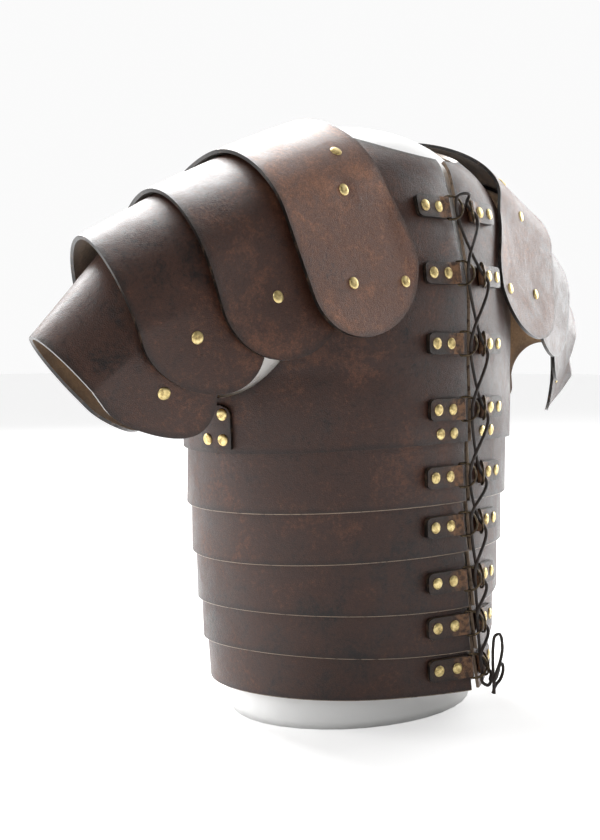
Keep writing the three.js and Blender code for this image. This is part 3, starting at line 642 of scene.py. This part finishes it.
def leather_sheet(
    name, grid, finishes, mirror=False, thickness=LEATHER, bevel=0.8, worn=None
):
    """A sheet from the grid of its outer face, with its wall and rounded edges.

    finishes are those of its grain side, its flesh side and its cut edge. Its points keep their
    distance from the rim as "edge", and worn, how far the dye is rubbed off, as "worn".
    """
    rows, columns = grid.shape[:2]
    points = grid.reshape(-1, 3) * ((-1, 1, 1) if mirror else (1, 1, 1))
    quads = []
    for j in range(rows - 1):
        for i in range(columns - 1):
            a = j * columns + i
            quad = (a, a + 1, a + columns + 1, a + columns)
            quads.append(quad[::-1] if mirror else quad)
    mesh = bpy.data.meshes.new(name)
    mesh.from_pydata((points * MM).tolist(), [], quads)
    rim = np.zeros((rows, columns), bool)
    rim[[0, -1]] = rim[:, [0, -1]] = True
    tree = KDTree(int(rim.sum()))
    for k in np.flatnonzero(rim.ravel()):
        tree.insert(Vector(points[k] * MM), int(k))
    tree.balance()
    distance = mesh.attributes.new("edge", "FLOAT", "POINT")
    distance.data.foreach_set("value", [tree.find(Vector(p * MM))[2] for p in points])
    if worn is not None:
        rubbed = mesh.attributes.new("worn", "FLOAT", "POINT")
        rubbed.data.foreach_set("value", np.broadcast_to(worn, (rows, columns)).ravel())
    for finish in finishes:
        mesh.materials.append(finish)
    piece = link(name, mesh)
    bpy.context.view_layer.objects.active = piece
    piece.select_set(True)
    bpy.ops.object.mode_set(mode="EDIT")
    bpy.ops.mesh.select_all(action="SELECT")
    bpy.ops.mesh.remove_doubles(threshold=WELD * MM)
    bpy.ops.object.mode_set(mode="OBJECT")
    bpy.ops.object.shade_smooth()
    wall = piece.modifiers.new("wall", "SOLIDIFY")
    wall.thickness, wall.offset = thickness * MM, -1
    wall.material_offset, wall.material_offset_rim = 1, 2
    rounding = piece.modifiers.new("rounded_edges", "BEVEL")
    rounding.width, rounding.segments = bevel * MM, 3
    rounding.limit_method, rounding.angle_limit = "ANGLE", math.radians(SHARP_TURN)
    rounding.harden_normals = True
    rounding.material = 2
    for modifier in (wall.name, rounding.name):
        bpy.ops.object.modifier_apply(modifier=modifier)
    piece.select_set(False)
    flat, area = cut_size(grid)
    area = min(area, flat[0] * flat[1])
    return piece


def strip_grid(level, columns=240, rows=12):
    start = front_turn(edge_height(level, 0))
    round_body = lerp(start, 360 - start, np.linspace(0, 1, columns))
    turn, up = np.meshgrid(round_body, np.linspace(0, 1, rows))
    z = lerp(edge_height(level, turn), edge_height(level - 1, turn) + OVERLAP, up)
    points = strip_point(level, turn, z, LEATHER)
    outwards = unit(strip_point(level, turn, z, LEATHER + 1) - points)
    return points + outwards * ripple(points, PANEL_WAVES)[..., None]


def side_edge(v, seam_turn, inwards):
    """Side seam and armhole, from the lower edge to the shoulder tip."""
    foot = ARMHOLE_MIDDLE - ARMHOLE_HALF_HEIGHT
    sweep = np.radians(lerp(-90, 90, np.clip((v - SEAM_SHARE) / (1 - SEAM_SHARE), 0, 1)))
    seam = v < SEAM_SHARE
    turn = np.where(seam, seam_turn, seam_turn + inwards * ARMHOLE_TURN * np.cos(sweep))
    low = edge_height(0, seam_turn)
    hole = ARMHOLE_MIDDLE + ARMHOLE_HALF_HEIGHT * np.sin(sweep)
    return np.stack([turn, np.where(seam, lerp(low, foot, v / SEAM_SHARE), hole)], -1)


def neckline(turn, middle):
    return np.stack([turn, lerp(middle, NECK_SHOULDER, np.sin(np.radians(turn)) ** 2)], -1)


def shoulder_seam(f, turn):
    tip = ARMHOLE_MIDDLE + ARMHOLE_HALF_HEIGHT
    return np.stack([turn + 0 * f, lerp(NECK_SHOULDER, tip, f)], -1)


def panel_grid(columns, bottom, top, start, end):
    """A panel's four edges as [turn, height], filled in evenly between them."""
    u, v = np.linspace(0, 1, columns), panel_rows()
    low, high, near, far = bottom(u), top(u), start(v), end(v)
    uu, vv = u[None, :, None], v[:, None, None]
    corners = lerp(lerp(low[0], low[-1], uu), lerp(high[0], high[-1], uu), vv)
    blend = lerp(low[None], high[None], vv) + lerp(near[:, None], far[:, None], uu) - corners
    turn, z = blend[..., 0], blend[..., 1]
    points = face_point(0, turn, z, 0)
    outwards = unit(face_point(0, turn, z, 1) - points)
    return points + outwards * ripple(points, PANEL_WAVES)[..., None]


def panel_rows():
    """Even shares, with one of them at the foot of the armhole."""
    below = round(PANEL_ROWS * SEAM_SHARE)
    above = np.linspace(SEAM_SHARE, 1, PANEL_ROWS - below)
    return np.concatenate([np.linspace(0, SEAM_SHARE, below + 1), above[1:]])


def chest_grid():
    seam = 90 - SIDE_GAP

    def bottom(u):
        turn = lerp(front_turn(EDGES[0][0]), seam, u)
        return np.stack([turn, edge_height(0, turn)], -1)

    def top(u):
        neck = neckline(lerp(front_turn(NECK_FRONT), seam, u / NECK_SHARE), NECK_FRONT)
        slope = shoulder_seam((u - NECK_SHARE) / (1 - NECK_SHARE), seam)
        return np.where((u < NECK_SHARE)[:, None], neck, slope)

    def front(v):
        z = lerp(edge_height(0, 0), NECK_FRONT, v)
        return np.stack([front_turn(z), z], -1)

    return panel_grid(CHEST_COLUMNS, bottom, top, front, lambda v: side_edge(v, seam, -1))


def back_grid():
    seam = 90 + SIDE_GAP
    share = (1 - NECK_SHARE) / 2

    def bottom(u):
        turn = lerp(seam, 360 - seam, u)
        return np.stack([turn, edge_height(0, turn)], -1)

    def top(u):
        neck = neckline(lerp(seam, 360 - seam, (u - share) / (1 - 2 * share)), NECK_BACK)
        first = shoulder_seam(1 - u / share, seam)
        last = shoulder_seam(1 - (1 - u) / share, 360 - seam)
        on_left, on_right = (u < share)[:, None], (u > 1 - share)[:, None]
        return np.where(on_left, first, np.where(on_right, last, neck))

    def left(v):
        return side_edge(v, seam, 1)

    def right(v):
        return side_edge(v, 360 - seam, -1)

    return panel_grid(BACK_COLUMNS, bottom, top, left, right)


# ---- shoulder plates, laid out on the wearer's right ----
def arch_point(arch, reach):
    """reach runs from the front end (negative) over the crown to the back end."""
    front = reach < 0
    span = np.where(front, arch["spanFront"], arch["spanBack"])
    tilt = np.radians(np.where(front, arch["tiltFront"], arch["tiltBack"]))
    flare = np.radians(np.where(front, arch["flareFront"], arch["flareBack"]))
    oval = ((span - arch["drop"]) / (span + arch["drop"])) ** 2
    quarter = math.pi / 4 * (span + arch["drop"]) * (1 + oval / 4)
    share = np.minimum(np.abs(reach) / quarter, 1)
    bend = share * math.pi / 2
    straight = np.maximum(np.abs(reach) - quarter, 0)
    out = span * np.sin(bend) + straight * np.sin(flare)
    down = arch["drop"] * (1 - np.cos(bend)) + straight * np.cos(flare)
    x, y, z = down * np.sin(tilt), np.where(front, -out, out), -down * np.cos(tilt)
    towards_back = np.where(front, 0, share * share * (3 - 2 * share))
    yaw = -np.radians(lerp(FRONT_YAW, arch["yawBack"], towards_back))
    turned = (x * np.cos(yaw) - y * np.sin(yaw), x * np.sin(yaw) + y * np.cos(yaw), z)
    return np.stack([turned[0] + arch["x"], turned[1] + arch["y"], turned[2] + arch["z"]], -1)


def off_body(point, distance):
    """Moves points out of the body until they stand this far off."""

    def level(p):
        across = p[..., 0] / between("halfWidth", p[..., 2])
        through = (p[..., 1] - between("middle", p[..., 2])) / between("halfDepth", p[..., 2])
        return np.hypot(across, through) - 1

    foot = point
    for _ in range(FOOT_PASSES):
        here = level(foot)
        slope = np.stack([level(foot + np.eye(3)[k]) - here for k in range(3)], -1)
        foot = foot - slope * (here / (slope**2).sum(-1))[..., None]
    away = point - foot
    missing = np.maximum(distance - np.linalg.norm(away, axis=-1), 0)
    return point + unit(away) * missing[..., None]


def plate_surface(plate, along, across):
    """along: -1 at the front end to 1 at the back; across: 0 at the tucked edge to 1 outside."""
    facts = PLATES[plate - 1]
    if plate == 1:
        tucked = arch_point(ARCHES[0], along * ARCHES[0]["leg"])
    else:
        tucked = plate_surface(plate - 1, along * facts["reach"], facts["tuck"] + 0 * across)
    outer = arch_point(ARCHES[plate], along * ARCHES[plate]["leg"])
    point = lerp(tucked, outer, across[..., None])
    if plate > 1:
        return point
    under = np.clip(across / PLATES[1]["tuck"], 0, 1) * (LEATHER + PLATE_GAP)
    return off_body(point, 2 * (LEATHER + SEAM) + BODY_CLEARANCE + under)


def plate_depth(plate, across):
    """Depth of a plate's outer face, so that it passes under the plate before it."""
    if plate == 1:
        return 0 * across
    at_tuck = plate_depth(plate - 1, PLATES[plate - 1]["tuck"]) + LEATHER + PLATE_GAP
    return at_tuck * (1 - across)


def plate_point(plate, along, across, height):
    along, across = np.broadcast_arrays(np.asarray(along, float), np.asarray(across, float))

    def surface(u, v):
        return plate_surface(plate, u / 100, v / 100)

    return raised(surface, along * 100, across * 100, height - plate_depth(plate, across))


def plate_rivets(plate):
    """Every rivet of a plate as along, across and the depth that it pulls the leather in."""
    facts = PLATES[plate - 1]
    places = [(*place, depth) for place, depth in zip(facts["rivets"], facts["dimples"])]
    if plate == 1:
        places += [(*place, ANCHOR_DIMPLE) for place in ANCHORS]
    return places + [(-along, across, depth) for along, across, depth in places]


def dimple(plate, points):
    """How far the rivets pull the leather in at these points."""
    pulled = np.zeros(points.shape[:-1])
    for along, across, depth in plate_rivets(plate):
        foot = plate_point(plate, along, across, 0)
        away = np.linalg.norm(points - foot, axis=-1) / DIMPLE_RADIUS
        pulled = np.maximum(pulled, depth * np.exp(-(away**2)))
    return pulled


def plate_grid(plate, end_steps=22, middle_steps=76, rows=24):
    share = PLATES[plate - 1]["round"] / ARCHES[plate]["leg"]
    angle = np.radians(np.linspace(90, 0, end_steps + 1))
    ends = share * (1 - np.sin(angle)) - 1
    middle = np.linspace(share - 1, 1 - share, middle_steps + 1)[1:-1]
    along = np.concatenate([ends, middle, -ends[::-1]])
    width = np.concatenate([np.cos(angle), np.ones(middle_steps - 1), np.cos(angle[::-1])])
    f = np.linspace(0, 1, rows + 1)[:, None]
    across = 0.5 + width[None] * (f - 0.5)
    along = np.broadcast_to(along, across.shape)
    points = plate_point(plate, along, across, 0)
    outwards = unit(plate_point(plate, along, across, 1) - points)
    shift = ripple(points, PLATE_WAVES) - dimple(plate, points)
    return points + outwards * shift[..., None]


def strap_grid(half):
    """A carrying strap under the plates' fronts (half 1) or backs (half -1)."""
    gap = STRAP_GAP["front" if half > 0 else "back"]
    stations = []
    following = [*(place[0] for place in STRAP_ROUTE[1:]), 0]
    for (plate, along, across), next_plate in zip(STRAP_ROUTE, following):
        dives = next_plate > plate
        depth = LEATHER + gap + (LEATHER + PLATE_GAP if dives else 0)
        tucked = ARCHES[plate - 1]["leg"] * PLATES[plate - 1]["reach"]
        spread = STRAP_WIDTH / 2 / lerp(tucked, ARCHES[plate]["leg"], across)
        aside = np.linspace(-spread, spread, 7)
        stations.append(plate_point(plate, half * along + aside, across, -depth))
    return np.array(stations)


# ---- tabs and joiners, laid out on the wearer's left ----
TAB_STEPS = 16  # points along each straight part of a tab's strap
FOLD_STEPS = 13  # points round its fold

# Wear along the strap: none on its two straight parts, bare hide round the fold.
FOLD_START, FOLD_END = TAB_STEPS, TAB_STEPS + FOLD_STEPS
FOLD_WEAR = np.interp(
    np.arange(FOLD_END + TAB_STEPS),
    [0, FOLD_START - 3, FOLD_START, FOLD_END + 1, FOLD_END + 3, FOLD_END + 5],
    [0, 0, 0.6, 1, 0.55, 0],
)


def tab_grid(row, columns=15):
    """The folded strap's outer face, from its end under the ring's fold and back over it."""
    level, z, rivet_x = TABS[row]
    seat = ring_seat(row)
    bar_x = rivet_x - RIVET_PITCH - FOLD_REACH
    fold_x = bar_x + FOLD_REACH / 2
    lines = []
    for side in np.linspace(-1, 1, columns):
        past = max(abs(side) * TAB_WIDTH / 2 - (TAB_WIDTH / 2 - TAB_CORNER), 0) / TAB_CORNER
        end_x = rivet_x + TAB_END - TAB_CORNER * (1 - math.sqrt(max(1 - past * past, 0)))
        height = z + side * TAB_WIDTH / 2
        xs = lerp(end_x, fold_x, np.linspace(0, 1, TAB_STEPS))
        under = face_point(level, turn_at(xs, height), height + 0 * xs, TAB_SEAM)
        over = face_point(level, turn_at(xs, height), height + 0 * xs, TAB_SEAM + TAB_THICKNESS)
        middle = seat["bar"] + seat["up"] * side * TAB_WIDTH / 2
        angles = np.radians(np.linspace(-90, 90, FOLD_STEPS))[:, None]
        fold = middle - seat["away"] * FOLD_RADIUS * np.cos(angles)
        fold = fold + seat["normal"] * FOLD_RADIUS * np.sin(angles)
        lines.append(np.concatenate([under, fold, over[::-1]]))
    return np.array(lines)


def joiner_grid(columns=25, rows=15):
    """A joiner's outer face, with its two upper corners rounded."""
    points = []
    for up in np.linspace(0, 1, rows):
        z = lerp(JOINER["low"], JOINER["high"], up)
        past = max(JOINER["corner"] - (JOINER["high"] - z), 0) / JOINER["corner"]
        inset = JOINER["corner"] * (1 - math.sqrt(max(1 - past * past, 0)))
        half = JOINER["turn"] - inset / between("halfDepth", z) * ARC_DEGREES
        turn = 90 + np.linspace(-half, half, columns)
        points.append(face_point(0, turn, z + 0 * turn, SEAM + LEATHER))
    return np.array(points)


# ---- rivets ----
def standing(point, normal):
    """Places a fitting that was made upright at the origin, standing on the leather here."""
    turn = Vector((0, 0, 1)).rotation_difference(Vector(normal)).to_matrix().to_4x4()
    return Matrix.Translation(Vector(point) * MM) @ turn


def edit(piece):
    bpy.ops.object.select_all(action="DESELECT")
    bpy.context.view_layer.objects.active = piece
    piece.select_set(True)
    bpy.ops.object.mode_set(mode="EDIT")
    bpy.ops.mesh.select_mode(type="VERT")
    bpy.ops.mesh.select_all(action="DESELECT")


def leave_edit():
    bpy.ops.object.mode_set(mode="OBJECT")
    bpy.ops.object.select_all(action="DESELECT")


def pick_faces(piece, test):
    """Selects the faces whose middle passes a test, and nothing else."""
    bpy.ops.object.mode_set(mode="OBJECT")
    for face in piece.data.polygons:
        face.select = test(face.center)
    bpy.ops.object.mode_set(mode="EDIT")
    bpy.ops.mesh.select_mode(type="FACE")


def rivet_cap(brass):
    """A low domed cap with a rolled rim and a little flat on top."""
    bpy.ops.mesh.primitive_cylinder_add(
        vertices=CAP_SIDES,
        radius=CAP_RADIUS * MM,
        depth=CAP_WALL["height"] * MM,
        location=(0, 0, CAP_WALL["middle"] * MM),
    )
    piece = bpy.context.active_object
    piece.name = "rivet_pattern"
    bpy.ops.object.transform_apply(location=True, rotation=True, scale=True)
    edit(piece)
    pick_faces(piece, lambda middle: middle.z > CAP_WALL["top"] * MM * 0.9)
    for inset, rise in CAP_STEPS:
        bpy.ops.mesh.inset(thickness=inset * MM, depth=0)
        bpy.ops.transform.translate(value=(0, 0, rise * MM))
    leave_edit()
    piece.data.materials.append(brass)
    for face in piece.data.polygons:
        face.use_smooth = True
    return piece


def fitting(name, pattern, places):
    """One piece made of copies of a pattern at these places."""
    copies = []
    for place in places:
        mesh = pattern.data.copy()
        mesh.transform(place)
        copies.append(link(name, mesh))
    bpy.ops.object.select_all(action="DESELECT")
    for copy in copies:
        copy.select_set(True)
    piece = copies[0]
    bpy.context.view_layer.objects.active = piece
    if len(copies) > 1:
        bpy.ops.object.join()
    piece.name = piece.data.name = name
    bpy.ops.object.select_all(action="DESELECT")
    return piece


def mirrored(vector, mirror):
    return np.array(vector) * ((-1, 1, 1) if mirror else (1, 1, 1))


def cap_place(at_height, mirror, sink=0.0):
    """A rivet cap on the leather. at_height gives the point this far above its outer face."""
    normal = unit(at_height(1) - at_height(0))
    return standing(mirrored(at_height(-sink), mirror), mirrored(normal, mirror))


def d_ring(bronze):
    """A ring of round wire with one straight side along X and its round side towards Y."""
    half, corner = RING_BAR / 2, RING_CORNER
    soft, turn = ROUND_HANDLE * corner, ROUND_HANDLE * half
    low, high = RING_ARM, RING_ARM + half
    wire = [
        [(corner - half, 0), (corner - half - soft, 0), (0, 0)],
        [(half - corner, 0), (0, 0), (half - corner + soft, 0)],
        [(half, corner), (half, corner - soft), (half, low)],
        [(half, low), (half, corner), (half, low + turn)],
        [(0, high), (turn, high), (-turn, high)],
        [(-half, low), (-half, low + turn), (-half, corner)],
        [(-half, corner), (-half, low), (-half, corner - soft)],
    ]
    curve = bpy.data.curves.new("ring_pattern", "CURVE")
    curve.dimensions = "3D"
    curve.bevel_depth, curve.bevel_resolution, curve.resolution_u = RING_WIRE / 2 * MM, 4, 8
    spline = curve.splines.new("BEZIER")
    spline.use_cyclic_u = True
    spline.bezier_points.add(len(wire) - 1)
    for place, points in zip(spline.bezier_points, wire):
        place.handle_left_type = place.handle_right_type = "FREE"
        corners = (Vector((x, y, 0)) * MM for x, y in points)
        place.co, place.handle_left, place.handle_right = corners
    curve.materials.append(bronze)
    piece = link("ring_pattern", curve)
    bpy.ops.object.select_all(action="DESELECT")
    bpy.context.view_layer.objects.active = piece
    piece.select_set(True)
    bpy.ops.object.convert(target="MESH")
    bpy.ops.object.shade_smooth()
    edit(piece)
    bpy.ops.mesh.select_all(action="SELECT")
    bpy.ops.mesh.remove_doubles(threshold=WELD * MM)
    bpy.ops.mesh.normals_make_consistent(inside=False)
    leave_edit()
    return piece


def ring_place(row, mirror):
    """Turns the ring pattern's bar along the tab's fold and its round side away from the tab."""
    seat = ring_seat(row)
    sides = [mirrored(seat[name], mirror) for name in ("up", "reach")]
    if mirror:
        sides[0] = -sides[0]
    third = np.cross(sides[0], sides[1])
    turn = Matrix([list(v) for v in (*sides, third)]).transposed().to_4x4()
    return Matrix.Translation(Vector(mirrored(seat["bar"], mirror) * MM)) @ turn


# ---- display form ----
def smooth_form(material):
    """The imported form's own shape, merged and rounded, with its flat base kept sharp."""
    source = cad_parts["display_form"]
    mesh = source.data.copy()
    mesh.name = "form"
    mesh.materials.clear()
    mesh.materials.append(material)
    piece = link("form", mesh)
    edit(piece)
    bpy.ops.mesh.select_all(action="SELECT")
    bpy.ops.mesh.remove_doubles(threshold=0.01 * MM)
    square = math.radians(40)
    bpy.ops.mesh.tris_convert_to_quads(face_threshold=square, shape_threshold=square)
    leave_edit()
    crease = mesh.attributes.new("crease_edge", "FLOAT", "EDGE")
    flat = [all(mesh.vertices[v].co.z < 0.5 * MM for v in edge.vertices) for edge in mesh.edges]
    crease.data.foreach_set("value", [float(f) for f in flat])
    for face in mesh.polygons:
        face.use_smooth = True
    rounding = piece.modifiers.new("rounded", "SUBSURF")
    rounding.levels = rounding.render_levels = 2
    bpy.context.view_layer.objects.active = piece
    piece.select_set(True)
    bpy.ops.object.modifier_apply(modifier=rounding.name)
    piece.select_set(False)
    return ride(piece, "display_form")


# ---- making it all ----
ahead, right = make_camera()
make_lace(lace_finish())

# Each leather's dye: deep in its darkest clouds, over most of it, and in its warmest clouds. The top
# plate's leather is a lighter copy of the plate leather: painted light falling from above, not dye.
LEATHERS = {
    "panel_leather": [(0.008, 0.0036, 0.0024), (0.052, 0.0185, 0.0102), (0.14, 0.052, 0.026)],
    "plate_leather": [(0.009, 0.004, 0.0027), (0.058, 0.021, 0.0115), (0.16, 0.06, 0.029)],
    "lit_top_plate_leather": [(0.034, 0.0145, 0.009), (0.145, 0.056, 0.028), (0.32, 0.13, 0.06)],
    "tab_leather": [(0.009, 0.0048, 0.0032), (0.052, 0.022, 0.0125), (0.14, 0.06, 0.03)],
    "strap_leather": [(0.01, 0.006, 0.005), (0.05, 0.024, 0.015), (0.12, 0.06, 0.033)],
}
BARE_FOLD = {"tab_leather": (0.24, 0.115, 0.05)}
leather = {name: grain_leather(name, *dyes, BARE_FOLD.get(name)) for name, dyes in LEATHERS.items()}
FLESH = flesh_leather("flesh_side", pale=(0.36, 0.23, 0.12), brown=(0.16, 0.095, 0.05))
DARK_EDGE = cut_edge("rubbed_edge", (0.006, 0.004, 0.003), (0.08, 0.05, 0.032), share=0.1)
PALE_EDGE = cut_edge("worn_edge", (0.05, 0.03, 0.02), (0.30, 0.22, 0.16), share=0.3)
BRASS = old_metal("cap_brass", (0.95, 0.80, 0.42), (0.80, 0.63, 0.28), (0.36, 0.25, 0.11))
BRONZE = old_metal("ring_bronze", (0.20, 0.15, 0.09), (0.09, 0.066, 0.042), (0.03, 0.022, 0.016))

smooth_form(form_finish())
CAP = rivet_cap(BRASS)
RING = d_ring(BRONZE)
RIGHT_FIRST = (("right", False), ("left", True))  # each side, and whether it mirrors what was laid out
LEFT_FIRST = (("left", False), ("right", True))

panel_finishes = [leather["panel_leather"], FLESH, PALE_EDGE]
chest = chest_grid()
corner_xs = [CORNER_RIVETS["outerX"], CORNER_RIVETS["outerX"] - RIVET_PITCH]
for side, mirror in LEFT_FIRST:
    node = f"chest_{side}"
    piece = leather_sheet(f"chest_panel_{side}", chest, panel_finishes, mirror)
    ride(piece, node)
    z = CORNER_RIVETS["z"]
    places = [
        cap_place(lambda h, x=x: face_point(0, turn_at(x, z), z, h), mirror) for x in corner_xs
    ]
    ride(fitting(f"corner_rivets_{side}", CAP, places), node)

back = leather_sheet("back_leather", back_grid(), panel_finishes)
ride(back, "back_panel")

for level in range(1, len(EDGES)):
    grid = strip_grid(level)
    piece = leather_sheet(f"strip_{level}", grid, panel_finishes)
    ride(piece, f"girdle_strip_{level}")

for plate in range(1, len(PLATES) + 1):
    grid = plate_grid(plate)
    # Plate 1 takes the lighter copy, which is painted light for the light falling on the shoulder's
    # top.
    top = leather["lit_top_plate_leather" if plate == 1 else "plate_leather"]
    for side, mirror in RIGHT_FIRST:
        node = f"shoulder_plate_{side}_{plate}"
        piece = leather_sheet(
            f"plate_{side}_{plate}", grid, [top, FLESH, DARK_EDGE], mirror, bevel=1.0
        )
        ride(piece, node)
        places = [
            cap_place(lambda h, a=along, c=across: plate_point(plate, a, c, h), mirror, depth)
            for along, across, depth in plate_rivets(plate)
        ]
        ride(fitting(f"plate_rivets_{side}_{plate}", CAP, places), node)

finishes = [leather["strap_leather"], FLESH, DARK_EDGE]
for part, half in (("front", 1), ("back", -1)):
    grid = strap_grid(half)
    for side, mirror in RIGHT_FIRST:
        name, hung_on = f"{part}_carrying_strap_{side}", [f"plate_{side}_1"]
        piece = leather_sheet(
            name, grid, finishes, mirror, thickness=STRAP_THICKNESS, bevel=0.5
        )
        ride(piece, f"{part}_strap_{side}")

joiner = joiner_grid()
finishes = [leather["panel_leather"], FLESH, DARK_EDGE]
rivet_turns = (90 - JOINER["rivetTurn"], 90 + JOINER["rivetTurn"])
rivet_heights = (JOINER["low"] + JOINER["rivetInset"], JOINER["high"] - JOINER["rivetInset"])
for side, mirror in LEFT_FIRST:
    node = f"side_joiner_{side}"
    piece = leather_sheet(f"joiner_{side}", joiner, finishes, mirror)
    ride(piece, node)
    places = [
        cap_place(lambda h, t=turn, z=z: face_point(0, t, z, SEAM + LEATHER + h), mirror)
        for turn in rivet_turns
        for z in rivet_heights
    ]
    ride(fitting(f"joiner_rivets_{side}", CAP, places), node)

finishes = [leather["tab_leather"], FLESH, DARK_EDGE]
for row, (level, z, rivet_x) in enumerate(TABS):
    grid = tab_grid(row)
    rise = TAB_SEAM + TAB_THICKNESS
    for side, mirror in LEFT_FIRST:
        node = f"tab_{side}_{row + 1}"
        piece = leather_sheet(
            f"lacing_tab_{side}_{row + 1}", grid, finishes, mirror,
            thickness=TAB_LAYER, bevel=0.5, worn=FOLD_WEAR,
        )
        ride(piece, node)
        places = [
            cap_place(lambda h, x=x: face_point(level, turn_at(x, z), z, rise + h), mirror)
            for x in (rivet_x, rivet_x - RIVET_PITCH)
        ]
        ride(fitting(f"tab_rivets_{side}_{row + 1}", CAP, places), node)
        ring = fitting(f"lacing_ring_{side}_{row + 1}", RING, [ring_place(row, mirror)])
        ride(ring, f"ring_{side}_{row + 1}")

for pattern in (CAP, RING):
    bpy.data.objects.remove(pattern)

# ---- floor and light ----
bpy.ops.mesh.primitive_plane_add(size=FLOOR_SIZE)
floor = bpy.context.active_object
floor.name = "floor"
floor.data.materials.append(floor_finish())

flat_ahead = Vector((ahead.x, ahead.y, 0)).normalized()
flat_right = Vector((right.x, right.y, 0)).normalized()


def soft_light(name, sideways, beyond, height, size, power):
    """A square lamp: sideways to the camera's right, beyond the armour, and above its middle."""
    data = bpy.data.lights.new(name, "AREA")
    data.shape, data.size, data.energy = "SQUARE", size, power
    lamp = link(name, data)
    lamp.location = MIDDLE + flat_right * sideways + flat_ahead * beyond + Vector((0, 0, height))
    lamp.rotation_euler = (MIDDLE - lamp.location).to_track_quat("-Z", "Y").to_euler()


def studio_world(near, far, seen):
    """A bright room beyond the armour and a dim one on the camera's side, seen as plain white."""
    world = bpy.data.worlds.new("studio")
    world.use_nodes = True
    nodes, links = world.node_tree.nodes, world.node_tree.links
    direction = nodes.new("ShaderNodeTexCoord").outputs["Generated"]
    beyond = nodes.new("ShaderNodeVectorMath")
    beyond.operation = "DOT_PRODUCT"
    links.new(direction, beyond.inputs[0])
    beyond.inputs[1].default_value = flat_ahead
    level = nodes.new("ShaderNodeMapRange")
    level.interpolation_type = "SMOOTHSTEP"
    links.new(beyond.outputs["Value"], level.inputs["Value"])
    for name, value in (("From Min", -0.6), ("From Max", 0.8), ("To Min", near), ("To Max", far)):
        level.inputs[name].default_value = value
    lit, plain = nodes["Background"], nodes.new("ShaderNodeBackground")
    links.new(level.outputs["Result"], lit.inputs["Strength"])
    lit.inputs["Color"].default_value = plain.inputs["Color"].default_value = (1, 1, 1, 1)
    plain.inputs["Strength"].default_value = seen
    choice = nodes.new("ShaderNodeMixShader")
    links.new(nodes.new("ShaderNodeLightPath").outputs["Is Camera Ray"], choice.inputs["Fac"])
    links.new(lit.outputs[0], choice.inputs[1])
    links.new(plain.outputs[0], choice.inputs[2])
    links.new(choice.outputs[0], nodes["World Output"].inputs["Surface"])
    return world


for lamp in LAMPS:
    soft_light(*lamp)
bpy.context.scene.world = studio_world(**ROOM_LIGHT)
bpy.context.scene.view_settings.view_transform = "Standard"
